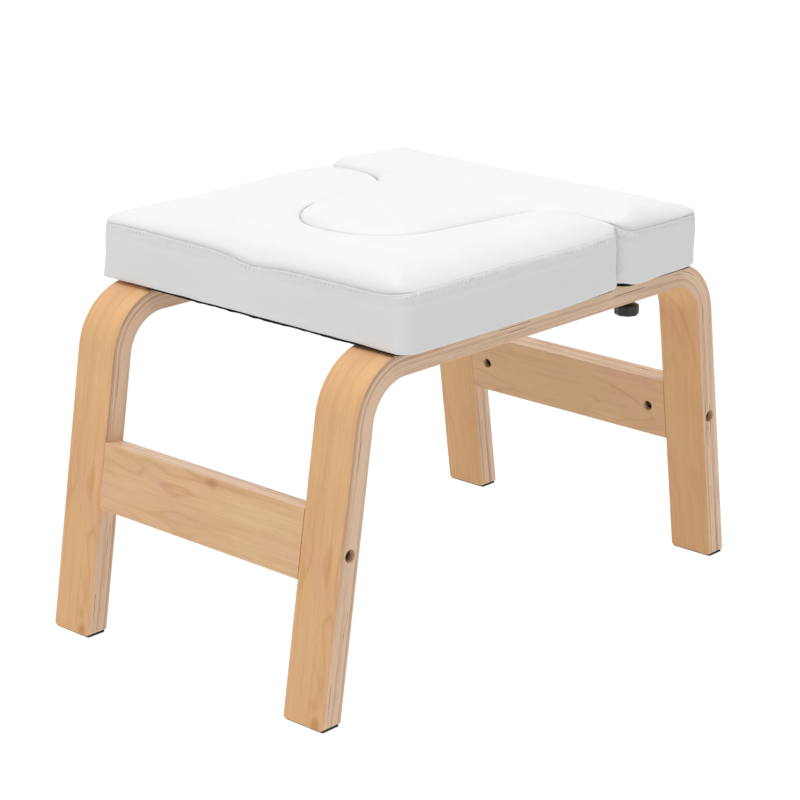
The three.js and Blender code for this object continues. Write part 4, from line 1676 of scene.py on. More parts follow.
    def divide_share(self, outline: Array) -> Array:
        """Gives 1 where the outline runs along the other cushion and 0 elsewhere."""
        between = (outline[:, 1] > self.tip_y - 5 * MM) & (outline[:, 1] < self.divide_y + 5 * MM)
        return (between & (np.abs(outline[:, 0]) < self.half_x - 12 * MM)).astype(float)

    def divide_distance(self, points: Array) -> Array:
        """Measures how far points lie from the seam along the dividing line.

        Args:
            points: The points as rows of x and y.

        Returns:
            One distance a point.
        """
        outline, _ = self.outline(Level.SEAM)
        divide = outline[self.divide_share(outline) > 0]
        return np.linalg.norm(points[:, None] - divide[None], axis=-1).min(axis=1)

    def crown_height(self, points: Array, distance: Array, seam: Array, shape: Array) -> Array:
        """Gives the top's height: the shoulder from the seam to the crown, a slight dome and a slow ripple.

        Args:
            points: Where, as rows of x and y.
            distance: Metres from the seam at each point.
            seam: The height of the nearest point of the seam.
            shape: The shoulder's powers and extra rise there, as rows of three.

        Returns:
            The heights above the cover's underside.
        """
        crown = self.seam_rise + self.crown_rise - self.dome_rise * 0.6
        for swell in self.swells():
            crown = crown + swell.over(points)
        rise = self.divide_rises[0] if self.is_shoulder else self.divide_rises[1]
        crown = crown + rise * np.exp(-((self.divide_distance(points) / self.divide_reach) ** 2))
        crown = crown + shape[:, 2] * np.exp(-((distance / self.soft_reach) ** 4))
        dome = self.dome_rise * (1 - np.exp(-((distance / self.dome_reach) ** 2)))
        uneven = 0.2 * MM * ripple(points, 140 * MM, 11) * np.clip(distance / (40 * MM), 0, 1)
        return seam + (crown - seam) * self.crown_share(distance, shape) + dome + uneven

    def cover_rings(self) -> tuple[Array, Array, Array]:
        """Builds the cover's rings, from the hem's inner edge to the rim of the cap.

        Returns:
            The rings as (ring, point, xyz), the panel attribute of the same shape and the seam's height.
        """
        base, base_normals = self.outline(Level.BASE)
        side, side_normals = self.outline(Level.SIDE)
        top, top_normals = self.outline(Level.SEAM)
        seam, lean = self.seam_height(top, top_normals), self.lean(top, top_normals)
        edge = self.lower_edge(base)
        around = np.concatenate([[0], np.cumsum(np.linalg.norm(np.diff(top, axis=0), axis=1))])
        track = np.column_stack([around, 0 * around])
        join = self.join_distance(top)
        rings, panels = [], []

        def add(share: float, inset: Array | float, height: Array) -> None:
            """Adds a ring.

            Args:
                share: The share of the side's height whose outline it takes.
                inset: How far it is drawn in.
                height: Its height above the cover's underside.
            """
            low = min(share / self.waist_share, 1.0)
            high = max((share - self.waist_share) / (1 - self.waist_share), 0.0) ** 1.5
            line = base + (side - base) * low + (top - side) * high
            normals = base_normals + (side_normals - base_normals) * low + (top_normals - side_normals) * high
            drawn = line + normals * np.reshape(inset, (-1, 1))
            rings.append(np.column_stack([drawn, self.bottom + height]))
            panels.append(np.column_stack([around, height - seam, join]))

        for inset, height in self.hem:
            hanging = edge * (1 - np.clip(inset / 13, 0, 1))
            add(0.0, (inset + 0.3) * MM, hanging + height * MM)
        for share in np.linspace(0.065, 0.83, 14):
            wander = 0.22 * MM * ripple(track + [0, share], 70 * MM, 8) * math.sin(math.pi * share)
            inset = self.waist * math.sin(math.pi * share**0.8) ** 1.3 + wander
            add(share, inset + lean * self.leaned(share), edge * (1 - share) ** 3 + share * seam)
        pucker = ripple(track, 13 * MM, 3) + 0.7 * ripple(track, 6.5 * MM, 4)
        tightness = 1 - 0.75 * self.right_share(top, top_normals) * self.is_shoulder
        for share in (0.87, 0.91, 0.95):
            gather = 0.26 * MM * pucker * math.sin(math.pi * (share - 0.83) / 0.17)
            add(share, lean * self.leaned(share) - gather, share * seam)
        for inset, height in self.welt:
            sloped = 0.55 * min(height, 0.3) * (1 - tightness)
            raised = height * MM * (tightness if height > 0 else 1)
            add(1.0, lean + (inset * tightness + sloped) * MM, seam + raised)
        crown, crown_normals = self.outline(Level.CROWN)
        drawn = top + top_normals * lean[:, None]
        for distance in np.array(self.crown_insets) * MM:
            share = min(distance / (12 * MM), 1.0)
            line = top + (crown - top) * share
            line = line + (top_normals + (crown_normals - top_normals) * share) * (lean + distance)[:, None]
            away, _, _ = nearest_on(drawn, line)
            height = self.crown_height(line, away, seam, self.shoulder(top, top_normals))
            rings.append(np.column_stack([line, self.bottom + height]))
            panels.append(np.column_stack([around, height - seam, join]))
        return np.stack(rings), np.stack(panels), seam

    def join_distance(self, outline: Array) -> Array:
        """Gives metres from the side panel's join, along the front side, and a tenth of a metre elsewhere."""
        on_front = (outline[:, 1] < self.tip_y - 20 * MM) & (np.abs(outline[:, 0]) < self.half_x - 40 * MM)
        return np.where(on_front & self.is_shoulder, outline[:, 0] - self.join_x, 0.1)

    def cap(self, rim: Array, seam: Array, around: Array) -> tuple[Array, Array, Faces]:
        """Fills the top inside the last ring with a triangle net that follows the crown.

        Args:
            rim: The last ring's points.
            seam: The seam's height at each point of the outline.
            around: Metres round the outline at each point.

        Returns:
            The points, their panel attribute and the triangles, the rim first.
        """
        top, top_normals = self.outline(Level.SEAM)
        drawn = top + top_normals * self.lean(top, top_normals)[:, None]
        spacing = self.cap_spacing
        xs = np.arange(-self.half_x, self.half_x, spacing)
        ys = np.arange(-self.half_y, self.half_y, spacing * 0.87)
        grid_x, grid_y = np.meshgrid(xs, ys)
        grid_x = grid_x + (np.arange(len(ys)) % 2)[:, None] * spacing / 2
        inner = np.column_stack([grid_x.ravel(), grid_y.ravel()])
        distance, nearest, inside = nearest_on(drawn, inner)
        keep = inside & (distance > self.cap_inset + spacing * 0.6)
        inner, distance, nearest = inner[keep], distance[keep], nearest[keep]
        shape = self.shoulder(top, top_normals)
        height = self.bottom + self.crown_height(inner, distance, seam[nearest], shape[nearest])
        points = np.concatenate([rim, np.column_stack([inner, height])])
        faces = filled(points[:, :2], len(rim))
        points[:, 2] = smoothed(points[:, 2], np.array(faces), len(rim), self.cap_smoothing)
        above = points[len(rim):, 2] - self.bottom - seam[nearest]
        return points, np.column_stack([around[nearest], above, 0.1 + 0 * above]), faces

    def freedom(self, points: Array, panel: Array) -> Array:
        """Gives how freely each point moves as the foam settles: 0 at what is sewn or held, up to 1.

        Args:
            points: The cover's points.
            panel: Their panel attribute.

        Returns:
            One share a point, as a column.
        """
        from_seam = np.clip((np.abs(panel[:, 1]) - 3 * MM) / (8 * MM), 0, 1)
        from_base = np.clip((points[:, 2] - self.bottom - 9 * MM) / (12 * MM), 0, 1)
        from_divide = np.clip((self.divide_distance(points[:, :2]) - 4 * MM) / (14 * MM), 0, 1)
        share = from_seam * from_base * from_divide
        return (share**2 * (3 - 2 * share))[:, None]

    def build_cover(self, material: Material) -> Piece:
        """Makes the cover: rings up to the cap, then the cap, then lets the foam settle in it.

        Args:
            material: Its cloth.

        Returns:
            The cover.
        """
        rings, panels, seam = self.cover_rings()
        rows, columns = rings.shape[:2]
        cap_points, cap_panel, cap_faces = self.cap(rings[-1], seam, panels[0, :, 0])
        points = np.concatenate([rings.reshape(-1, 3), cap_points[columns:]])
        panel = np.concatenate([panels.reshape(-1, 3), cap_panel])
        offset = (rows - 1) * columns
        faces = ring_faces(rows, columns) + [tuple(offset + i for i in face) for face in cap_faces]
        closed = [*faces, tuple(reversed(range(columns)))]
        moves = self.settling.moves(points, closed, self.bottom + 8 * MM)
        points += moves * self.freedom(points, panel)
        piece = mesh_piece(f"{self.kind.value}_cushion_cover", points, faces)
        write_vectors(piece, "panel", panel)
        finish_piece(piece, material)
        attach(piece, self.kind.body)
        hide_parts(f"{self.kind.value}_cover", f"{self.kind.value}_foam")
        return piece


@dataclass
class DustCloth:
    """The thin black cloth stapled under a cushion, with holes for what fixes it, and its staples."""

    cushion: Cushion
    inset: float = 3.2 * MM
    front_inset: float = 1.2 * MM
    thickness: float = 0.5 * MM
    hole_radius: float = 6 * MM
    hole_x: float = 155.5 * MM
    shoulder_holes: tuple[float, ...] = (-163.29 * MM, 38.29 * MM)
    insert_holes: tuple[float, ...] = (152.79 * MM,)
    spacing: float = 7 * MM
    sag: float = 2.6 * MM
    rail_inner: float = 131 * MM
    staple_inset: float = 9 * MM
    staple_pitch: float = 38 * MM

    def hole_places(self) -> list[tuple[float, float]]:
        """Lists the middles of the holes."""
        ys = self.shoulder_holes if self.cushion.is_shoulder else self.insert_holes
        return [(side.sign * self.hole_x, y) for y in ys for side in Side]

    def edge(self, extra: float = 0.0) -> Array:
        """Draws the cloth's own outline.

        Args:
            extra: How far it is drawn in from there.

        Returns:
            Points as rows of x and y.
        """
        line, normals = self.cushion.outline(Level.BASE)
        front = self.cushion.front_share(line, normals) if self.cushion.is_shoulder else 0 * line[:, 0]
        left_rail = 1 / (1 + np.exp((line[:, 0] + 136 * MM) / (4 * MM)))
        front_inset = self.front_inset + (6 * MM - self.front_inset) * left_rail
        inset = self.inset + (front_inset - self.inset) * front + extra
        inset = inset + 0.5 * MM * ripple(line, 50 * MM, 23)
        return line + normals * inset[:, None]

    def height(self, points: Array) -> Array:
        """Gives the cloth's height: flat over the rails, sagging between them, and wavy along the front.

        Args:
            points: Where, as rows of x and y.

        Returns:
            One height a point.
        """
        across = np.clip(1 - (points[:, 0] / self.rail_inner) ** 2, 0, 1)
        slack = 0.45 + 0.25 * ripple(points, 70 * MM, 29)
        sag = self.sag * across * np.clip(slack, 0.05, 1)
        front = np.exp(-((points[:, 1] + self.cushion.half_y) / (9 * MM)) ** 2) * self.cushion.is_shoulder
        off_rail = 1 - np.exp(-((np.abs(points[:, 0]) - 155 * MM) / (20 * MM)) ** 2) * 0.3
        x = points[:, :1]
        hem = 0.4 * MM + 0.3 * MM * ripple(x, 60 * MM, 31) + 0.25 * MM * ripple(x, 17 * MM, 37)
        kink = 0.8 * MM * np.exp(-((points[:, 0] - 9 * MM) / (7 * MM)) ** 2)
        return self.cushion.bottom - 0.75 * MM - sag * (1 - front) - front * off_rail * (hem + kink)

    def build(self, material: Material) -> Piece:
        """Makes the cloth as one flat net with holes, given its height and then its thickness.

        Args:
            material: The cloth's finish.

        Returns:
            The cloth.
        """
        rim = self.edge()
        angle = np.linspace(0, TAU, 20, endpoint=False)
        circle = self.hole_radius * np.stack([np.cos(angle), np.sin(angle)], axis=-1)
        holes = [circle + np.array(place) for place in self.hole_places()]
        half_x, half_y = self.cushion.half_x, self.cushion.half_y
        xs, ys = np.arange(-half_x, half_x, self.spacing), np.arange(-half_y, half_y, self.spacing)
        inner = np.stack(np.meshgrid(xs, ys), axis=-1).reshape(-1, 2)
        distance, _, inside = nearest_on(rim, inner)
        clear = inside & (distance > self.spacing * 0.5)
        for place in self.hole_places():
            clear &= np.linalg.norm(inner - place, axis=1) > self.hole_radius + self.spacing * 0.5
        flat = np.concatenate([rim, *holes, inner[clear]])
        faces = filled(flat, len(rim), [len(hole) for hole in holes])
        centres = flat[np.array(faces)].mean(axis=1)
        outside_holes = np.full(len(faces), True)
        for place in self.hole_places():
            outside_holes &= np.linalg.norm(centres - place, axis=1) > self.hole_radius * 0.97
        faces = [face for face, kept in zip(faces, outside_holes) if kept]
        points = np.column_stack([flat, self.height(flat)])
        piece = mesh_piece(f"{self.cushion.kind.value}_dust_sheet", points, faces)
        solid = piece.modifiers.new("Thickness", "SOLIDIFY")
        solid.thickness = self.thickness
        solid.offset = 0
        finish_piece(piece, material)
        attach(piece, self.cushion.kind.body)
        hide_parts(f"{self.cushion.kind.value}_dust_cloth")
        return piece

    def build_staples(self, material: Material) -> Piece:
        """Makes the staples that hold the cloth, clear of the rails: six rings of six points along each wire.

        Args:
            material: Their steel.

        Returns:
            All of them as one piece.
        """
        line = self.edge(self.staple_inset)
        step = np.roll(line, -1, axis=0) - line
        along = np.concatenate([[0], np.cumsum(np.linalg.norm(step, axis=1))])
        wanted = np.arange(self.staple_pitch / 2, along[-1], self.staple_pitch)
        index = np.clip(np.searchsorted(along, wanted) - 1, 0, len(line) - 1)
        place, heading = line[index], step[index] / np.linalg.norm(step[index], axis=1)[:, None]
        clear = (np.abs(place[:, 0]) < self.rail_inner - 8 * MM) | (np.abs(place[:, 0]) > 184 * MM)
        place, heading = place[clear], heading[clear]
        source = np.random.default_rng(41)
        turn = source.normal(0, 0.12, len(place))
        heading = rotated(heading.T, np.stack([np.cos(turn), np.sin(turn)], axis=-1))
        beside = np.stack([-heading[:, 1], heading[:, 0]], axis=-1)
        run = np.array([-5.0, -5.0, -4.6, 4.6, 5.0, 5.0]) * MM
        drop = np.array([1.2, 0.2, -0.25, -0.25, 0.2, 1.2]) * MM
        angle = np.linspace(0, TAU, 6, endpoint=False)
        wire = 0.32 * MM * np.stack([np.cos(angle), np.sin(angle)], axis=-1)
        base = self.height(place) - self.thickness / 2
        flat = place[:, None, None] + heading[:, None, None] * run[None, :, None, None]
        flat = flat + beside[:, None, None] * wire[None, None, :, :1]
        height = base[:, None, None] + drop[None, :, None] + wire[None, None, :, 1]
        rings = np.concatenate([flat, height[..., None]], axis=-1)
        wires = [capped_rings(ring) for ring in rings]
        points = np.concatenate([own for own, _ in wires])
        starts = range(0, len(points), len(wires[0][0]))
        faces = [tuple(start + i for i in face) for start, (_, own) in zip(starts, wires) for face in own]
        piece = mesh_piece(f"{self.cushion.kind.value}_staples", points, faces)
        turn_outwards(piece)
        finish_piece(piece, material)
        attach(piece, self.cushion.kind.body)
        return piece


@dataclass
class SocketScrew:
    """A screw with a round head and a hexagonal socket, along +Z from its shank's end to its head."""

    shank_radius: float
    shank_length: float
    head_radius: float
    head_height: float
    socket_half: float
    socket_depth: float
    domed: bool = False
    sides: int = 48

    def outline(self) -> list[tuple[float, float]]:
        """Draws the half outline up to the socket's edge.

        Returns:
            Pairs of radius and height over the head's seat.
        """
        shank, radius, height = self.shank_radius, self.head_radius, self.head_height
        low = -self.shank_length
        shaft = [(shank * 0.7, low), (shank, low + 0.5 * MM), (shank, 0.0)]
        if self.domed:
            angle = np.linspace(0.12, 0.5, 7) * math.pi
            inner = self.socket_half * 1.25
            dome = [(inner + (radius - inner) * math.cos(a), height * math.sin(a)) for a in angle]
            return [*shaft, (radius * 0.97, 0.0), (radius, height * 0.15), *dome]
        ease = 0.5 * MM
        rim = [(radius - 0.2 * MM, 0.0), (radius, 0.2 * MM), (radius, height - ease)]
        rounding = [(radius - ease * 0.3, height - ease * 0.3), (radius - ease, height)]
        return [*shaft, *rim, *rounding, (self.socket_half * 1.3, height)]

    def rings(self) -> Array:
        """Gives the whole screw: its turned outside, then the socket's hexagon down to its floor.

        A hexagon's radius at an angle is half its width over the cosine of the angle from the nearest flat.

        Returns:
            Points as (ring, point, xyz).
        """
        turned = turned_rings(self.outline(), self.sides)
        angle = np.linspace(0, TAU, self.sides, endpoint=False)
        from_flat = (angle + math.pi / 6) % (math.pi / 3) - math.pi / 6
        hexagon = self.socket_half / np.cos(from_flat)
        spoke = np.stack([hexagon * np.cos(angle), hexagon * np.sin(angle)], axis=-1)
        levels = [(1.12, 0.05 * MM), (1.0, 0.2 * MM), (1.0, self.socket_depth)]
        heights = [np.full(self.sides, self.head_height - depth) for _, depth in levels]
        socket = [np.column_stack([spoke * grow, height]) for (grow, _), height in zip(levels, heights)]
        return np.concatenate([turned, np.stack(socket)])

    def build(self, name: str, place: Matrix) -> Piece:
        """Makes the screw.

        Args:
            name: Its name.
            place: Where its head's seat is.

        Returns:
            The screw.
        """
        points, faces = capped_rings(placed(self.rings(), place))
        piece = mesh_piece(name, points, faces)
        sharpen(piece, 40)
        return piece


@dataclass
class FrameFixings:
    """The bolts sunk in the legs' sides and the barrel nuts in the stretchers."""

    splay: float = math.radians(8.65)
    head_height: float = 6 * MM
    barrel_radius: float = 4.8 * MM
    barrel_length: float = 14 * MM
    slot_width: float = 1.2 * MM
    slot_depth: float = 1 * MM

    def bolt(self, side: Side, end: End, material: Material) -> Piece:
        """Makes one bolt: its head's seat lies in the leg, and its shank runs inwards to the barrel nut.

        Args:
            side: Which bent frame it is in.
            end: Which leg.
            material: Its material.

        Returns:
            The bolt.
        """
        node = f"frame_bolt_{end.label}_{side.label}"
        low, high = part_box(node)
        middle = (low + high) / 2
        seat_x = side.sign * (max(abs(low.x), abs(high.x)) - self.head_height)
        shank = high.x - low.x - self.head_height
        screw = SocketScrew(3 * MM, shank, 5 * MM, self.head_height, 2 * MM, 3 * MM)
        facing = Matrix.Rotation(side.sign * math.pi / 2, 4, "Y")
        place = Matrix.Translation((seat_x, middle.y, middle.z)) @ facing
        piece = screw.build(f"leg_bolt_{end.label}_{side.label}", place)
        return dress(piece, material, "stool", node)

    def barrel(self, side: Side, end: End, material: Material) -> Piece:
        """Makes one barrel nut: a turned slug with eased rims and a screwdriver slot across its open end.

        Args:
            side: Which bent frame its bolt is in.
            end: Which stretcher it is in.
            material: Its material.

        Returns:
            The nut.
        """
        node = f"barrel_nut_{end.label}_{side.label}"
        low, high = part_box(node)
        facing = Matrix.Rotation(0 if end is End.FRONT else math.pi, 4, "Z")
        lean = Matrix.Rotation(-self.splay, 4, "X") @ Matrix.Rotation(-math.pi / 2, 4, "X")
        place = Matrix.Translation((low + high) / 2) @ facing @ lean
        half, radius, ease = self.barrel_length / 2, self.barrel_radius, 0.5 * MM
        rounding = [(radius, half - ease), (radius - ease * 0.3, half - ease * 0.3), (radius - ease, half)]
        outline = [(radius - ease, -half), (radius, -half + ease), *rounding]
        points, faces = capped_rings(placed(turned_rings(outline, 48), place))
        piece = mesh_piece(f"barrel_{end.label}_{side.label}", points, faces)
        corners = np.array([(1, 1), (-1, 1), (-1, -1), (1, -1)]) * [self.slot_width / 2, radius * 1.2]
        levels = np.array([half - self.slot_depth, half + 1 * MM])
        rings = np.stack([np.column_stack([corners, np.full(4, level)]) for level in levels])
        slot_points, slot_faces = capped_rings(placed(rings, place))
        carve(piece, [mesh_piece("slot_cutter", slot_points, slot_faces)])
        sharpen(piece, 40)
        return dress(piece, material, "stool", node)

    def build(self, material: Material) -> list[Piece]:
        """Makes all the bolts and barrel nuts."""
        makers = (self.bolt, self.barrel)
        return [make(side, end, material) for side in Side for end in End for make in makers]


@dataclass
class CushionFixings:
    """What holds the cushions from below: button-head screws and washers, and two star knobs."""

    washer_hole: float = 3.3 * MM
    head_height: float = 3.3 * MM
    lobes: int = 8
    lobe_depth: float = 0.075
    knob_sides: int = 160
    knob_outline: Pairs = (
        (7.6, 0.9), (8.2, 0.55), (9.0, 0.15), (10.0, 0.0), (11.0, 0.2), (11.8, 0.8), (12.15, 1.7),
        (12.2, 2.8), (12.2, 7.6), (12.1, 8.9), (11.7, 9.9), (10.9, 10.6), (9.8, 10.95), (8.7, 11.1),
        (8.0, 11.5), (7.6, 12.2), (7.45, 13.2), (7.35, 18.2), (7.1, 18.75), (6.5, 19.0),
    )

    def washer(self, name: str, node: str, body: str, material: Material) -> Piece:
        """Makes a flat washer with rounded rims: a closed outline turned about the bolt's axis.

        Args:
            name: The washer's name.
            node: The node that it replaces.
            body: The body that it moves with.
            material: Its material.

        Returns:
            The washer.
        """
        low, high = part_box(node)
        radius, inner, half, ease = (high.x - low.x) / 2, self.washer_hole, (high.z - low.z) / 2, 0.35 * MM
        underside = [(inner + ease, -half), (radius - ease, -half), (radius - ease * 0.3, -half + ease * 0.3)]
        rim = [(radius, -half + ease), (radius, half - ease), (radius - ease * 0.3, half - ease * 0.3)]
        top = [(radius - ease, half), (inner + ease, half), (inner, half - ease), (inner, -half + ease)]
        rings = turned_rings([*underside, *rim, *top], 48) + np.array((low + high) / 2)
        piece = mesh_piece(name, rings.reshape(-1, 3), ring_faces(*rings.shape[:2], looped=True))
        sharpen(piece, 50)
        return dress(piece, material, body, node)

    def screw(self, node: str, material: Material) -> Piece:
        """Makes a button-head screw, head down.

        Args:
            node: The node that it replaces.
            material: Its material.

        Returns:
            The screw.
        """
        low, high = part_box(node)
        middle, head = (low + high) / 2, self.head_height
        screw = SocketScrew(3 * MM, high.z - low.z - head, 5.3 * MM, head, 2 * MM, 2 * MM, domed=True)
        place = Matrix.Translation((middle.x, middle.y, low.z + head)) @ Matrix.Rotation(math.pi, 4, "X")
        piece = screw.build(node.replace("cushion_bolt", "button_screw"), place)
        return dress(piece, material, "stool", node)

    def knob(self, side: Side, material: Material) -> Piece:
        """Makes a star knob: an outline turned about its axis, its rim drawn in between the lobes.

        A point's radius is the outline's, less a share that follows (1 - cos(n angle)) / 2 on the head and
        fades to nothing on the hub.

        Args:
            side: Which knob it is.
            material: Its material.

        Returns:
            The knob.
        """
        node = f"knob_head_{side.label}"
        low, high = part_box(node)
        middle = (low + high) / 2
        outline = np.array(self.knob_outline) * MM
        rings = turned_rings(outline, self.knob_sides)
        angle = np.linspace(0, TAU, self.knob_sides, endpoint=False)
        valley = ((1 - np.cos(self.lobes * angle)) / 2) ** 1.6
        on_head = np.clip((outline[:, 0] - 8.5 * MM) / (3.2 * MM), 0, 1)
        rings[..., :2] *= (1 - self.lobe_depth * valley[None, :] * on_head[:, None])[..., None]
        points, faces = capped_rings(rings + np.array((middle.x, middle.y, low.z)))
        piece = mesh_piece(f"star_knob_{side.label}", points, faces)
        sharpen(piece, 60)
        return dress(piece, material, f"{side.label}_knob", node)

    def build(self, steel: Material, plastic: Material) -> list[Piece]:
        """Makes every fixing under the cushions.

        Args:
            steel: The finish of screws and washers.
            plastic: The knobs' finish.

        Returns:
            The pieces.
        """
        pieces = []
        for side in Side:
            for place in ("front", "middle"):
                node = f"cushion_washer_{place}_{side.label}"
                pieces.append(self.washer(f"screw_washer_{place}_{side.label}", node, "stool", steel))
                pieces.append(self.screw(f"cushion_bolt_{place}_{side.label}", steel))
            node, body = f"knob_washer_{side.label}", f"{side.label}_washer"
            pieces.append(self.washer(f"star_knob_washer_{side.label}", node, body, steel))
            pieces.append(self.knob(side, plastic))
        return pieces


@dataclass
class FootPads:
    """Thin felt pads under the four legs."""

    inset: float = 0.7 * MM
    height: float = 1.35 * MM
    corner_radius: float = 2.5 * MM
    leg_thickness: float = 23.265 * MM

    def build(self, material: Material) -> list[Piece]:
        """Makes the pads: rounded rectangles, their lower rims eased.

        Args:
            material: Their felt.

        Returns:
            The pads.
        """
        pieces = []
        for side in Side:
            for end in End:
                low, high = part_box(f"frame_{side.label}")
                half = np.array([(high.x - low.x) / 2, self.leg_thickness / 2])
                line = rounded_rectangle(half - self.inset, self.corner_radius, 5)
                middle = np.array([(low.x + high.x) / 2, end.sign * (high.y - half[1])])
                levels = [(0.975, 0.0), (0.995, 0.15 * MM), (1.0, 0.4 * MM), (1.0, self.height)]
                rings = [np.column_stack([middle + line * grow, np.full(len(line), z)]) for grow, z in levels]
                points, faces = capped_rings(np.stack(rings))
                piece = mesh_piece(f"felt_pad_{end.label}_{side.label}", points, faces)
                sharpen(piece, 50)
                node = f"foot_pad_{end.label}_{side.label}"
                pieces.append(dress(piece, material, "stool", node))
        return pieces


@dataclass
class Camera:
    """The photograph's viewpoint, solved from the stool's own points."""

    place: Triple = (1.56431, -1.75176, 0.95445)
    azimuth: float = math.radians(41.858)
    elevation: float = math.radians(17.845)
    roll: float = math.radians(0.502)
    lens: float = 112.24

    def build(self) -> Piece:
        """Makes the camera and gives it to the scene.

        Returns:
            The camera.
        """
        cos_a, sin_a = math.cos(self.azimuth), math.sin(self.azimuth)
        cos_e, sin_e = math.cos(self.elevation), math.sin(self.elevation)
        back = Vector((sin_a * cos_e, -cos_a * cos_e, sin_e))
        right = Vector((cos_a, sin_a, 0))
        up = back.cross(right)
        turned_right = right * math.cos(self.roll) + up * math.sin(self.roll)
        turned_up = up * math.cos(self.roll) - right * math.sin(self.roll)
        turn = Matrix((turned_right, turned_up, back)).transposed()
        data = bpy.data.cameras.new("Camera")
        data.lens = self.lens
        data.sensor_width = 36
        data.clip_end = 50
        camera = bpy.data.objects.new("Camera", data)
        camera.matrix_world = Matrix.Translation(self.place) @ turn.to_4x4()
        bpy.context.scene.collection.objects.link(camera)
        bpy.context.scene.camera = camera
        return camera


@dataclass(frozen=True)
class Lamp:
    """A broad square lamp that faces the seat."""

    name: str
    place: Triple
    size: float
    power: float

    def build(self) -> Piece:
        """Hangs the lamp.

        Returns:
            The lamp.
        """
        data = bpy.data.lights.new(self.name, "AREA")
        data.energy = self.power
        data.size = self.size
        lamp = bpy.data.objects.new(self.name, data)
        lamp.location = self.place
        lamp.rotation_euler = (Vector((0, 0, 0.3)) - Vector(self.place)).to_track_quat("-Z", "Y").to_euler()
        lamp.visible_camera = False
        bpy.context.scene.collection.objects.link(lamp)
        return lamp


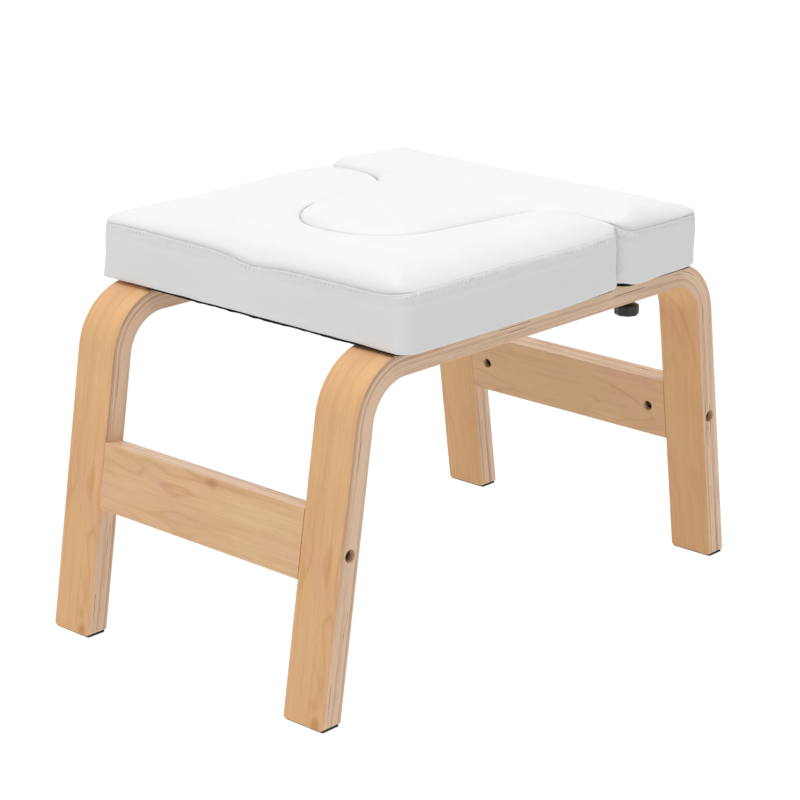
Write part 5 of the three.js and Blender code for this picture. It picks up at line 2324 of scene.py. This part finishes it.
@dataclass
class Studio:
    """A white room: a dim dome of light, three broad soft lamps and a bright white floor."""

    dome_strength: float = 0.28
    lamps: tuple[Lamp, ...] = (
        Lamp("Overhead lamp", (0.0, -0.1, 3.6), 3.0, 92.0),
        Lamp("Front lamp", (-0.4, -3.2, 0.35), 1.4, 15.0),
        Lamp("Right lamp", (3.2, -0.2, 0.35), 1.4, 6.5),
    )
    floor_half: float = 30.0
    floor_colour: float = 0.45
    floor_fill: float = 0.48
    floor_glow: float = 1.06
    near_glow_share: float = 0.88
    near_radius: float = 0.6
    far_radius: float = 2.2

    def build(self) -> None:
        """Makes the world, the lamps and the floor."""
        self.world()
        for lamp in self.lamps:
            lamp.build()
        self.floor()
        bpy.context.scene.view_settings.view_transform = "Standard"

    def world(self) -> None:
        """Makes the dome, which looks white straight on and in reflections."""
        world = bpy.data.worlds.new("Studio")
        bpy.context.scene.world = world
        shader = Shader(world)
        dim = shader.tree.nodes["Background"]
        dim.inputs["Color"].default_value = (*WHITE, 1.0)
        dim.inputs["Strength"].default_value = self.dome_strength
        seen = shader.add("ShaderNodeBackground", {"Color": (*WHITE, 1.0), "Strength": 1.0})
        ray = shader.add("ShaderNodeLightPath").outputs
        share = shader.math("MAXIMUM", ray["Is Camera Ray"], ray["Is Glossy Ray"])
        mix = shader.add("ShaderNodeMixShader", {0: share, 1: dim.outputs[0], 2: seen.outputs[0]})
        shader.link(mix.outputs[0], shader.tree.nodes["World Output"].inputs["Surface"])

    def floor(self) -> None:
        """Lays the floor, which looks white, keeps a faint shadow near the stool and is clear from below."""
        half = self.floor_half
        points = np.array([(-half, -half, 0), (half, -half, 0), (half, half, 0), (-half, half, 0)], float)
        floor = mesh_piece("floor", points, [(0, 1, 2, 3)], smooth=False)
        shader = Surface("White floor")
        shader.set(Base_Color=(self.floor_colour,) * 3 + (1.0,), Roughness=0.9, Specular_IOR_Level=0.0)
        shader.set(Emission_Color=(*WHITE, 1.0), Emission_Strength=self.floor_fill)
        glow = shader.add("ShaderNodeEmission", {"Color": (*WHITE, 1.0), "Strength": self.floor_glow})
        ray = shader.add("ShaderNodeLightPath").outputs
        seen = shader.math("MAXIMUM", ray["Is Camera Ray"], ray["Is Glossy Ray"])
        away = shader.add("ShaderNodeVectorMath", {0: shader.place()}, operation="LENGTH").outputs["Value"]
        brighter = shader.fade(away, self.near_radius, self.far_radius, self.near_glow_share)
        share = shader.product(seen, brighter)
        lit = {0: share, 1: shader.principled.outputs[0], 2: glow.outputs[0]}
        mix = shader.add("ShaderNodeMixShader", lit)
        clear = shader.add("ShaderNodeBsdfTransparent")
        below = shader.add("ShaderNodeNewGeometry").outputs["Backfacing"]
        shown = shader.add("ShaderNodeMixShader", {0: below, 1: mix.outputs[0], 2: clear.outputs[0]})
        shader.link(shown.outputs[0], shader.tree.nodes["Material Output"].inputs["Surface"])
        finish_piece(floor, shader.material)


def finish_hidden_nodes(steel: Material) -> None:
    """Gives the frame's own boards, dowels, tee nuts and studs their finishes.

    Args:
        steel: The tee nuts' finish.
    """
    board, threaded = RoughPly().build(), ZincSteel(threaded=True).build()
    for name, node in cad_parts.items():
        if "board" in name or "dowel" in name:
            finish_piece(node, board)
        elif "stud" in name:
            finish_piece(node, threaded)
        elif "tee_nut" in name:
            finish_piece(node, steel)


def main() -> None:
    """Builds the stool and its setting in order."""
    logging.basicConfig(level=logging.INFO, format="%(message)s")
    Camera().build()
    Studio().build()
    ply = BentPly("Bent birch ply", thickness=23 * MM).build()
    pale = {"honey": linear(243, 199, 153), "straw": linear(246, 205, 158), "rose": linear(240, 193, 156)}
    pale_ply = BentPly("Pale birch ply", thickness=23 * MM, **pale).build()
    for side in Side:
        log.info("made %s", BentFrame(side).build(ply).name)
    for end in End:
        log.info("made %s", Stretcher(end).build(pale_ply).name)
    steel, dark, plastic = ZincSteel().build(), DarkSteel().build(), MouldedPlastic().build()
    cover, cloth = Leatherette().build(), Nonwoven().build()
    for kind in Kind:
        cushion = Cushion(kind)
        log.info("made %s", cushion.build_cover(cover).name)
        under = DustCloth(cushion)
        log.info("made %s", under.build(cloth).name)
        log.info("made %s", under.build_staples(steel).name)
    felt = FeltPad().build()
    fixings = FrameFixings().build(dark) + CushionFixings().build(steel, plastic)
    for piece in fixings + FootPads().build(felt):
        log.info("made %s", piece.name)
    finish_hidden_nodes(steel)


if __name__ == "__main__":
    main()
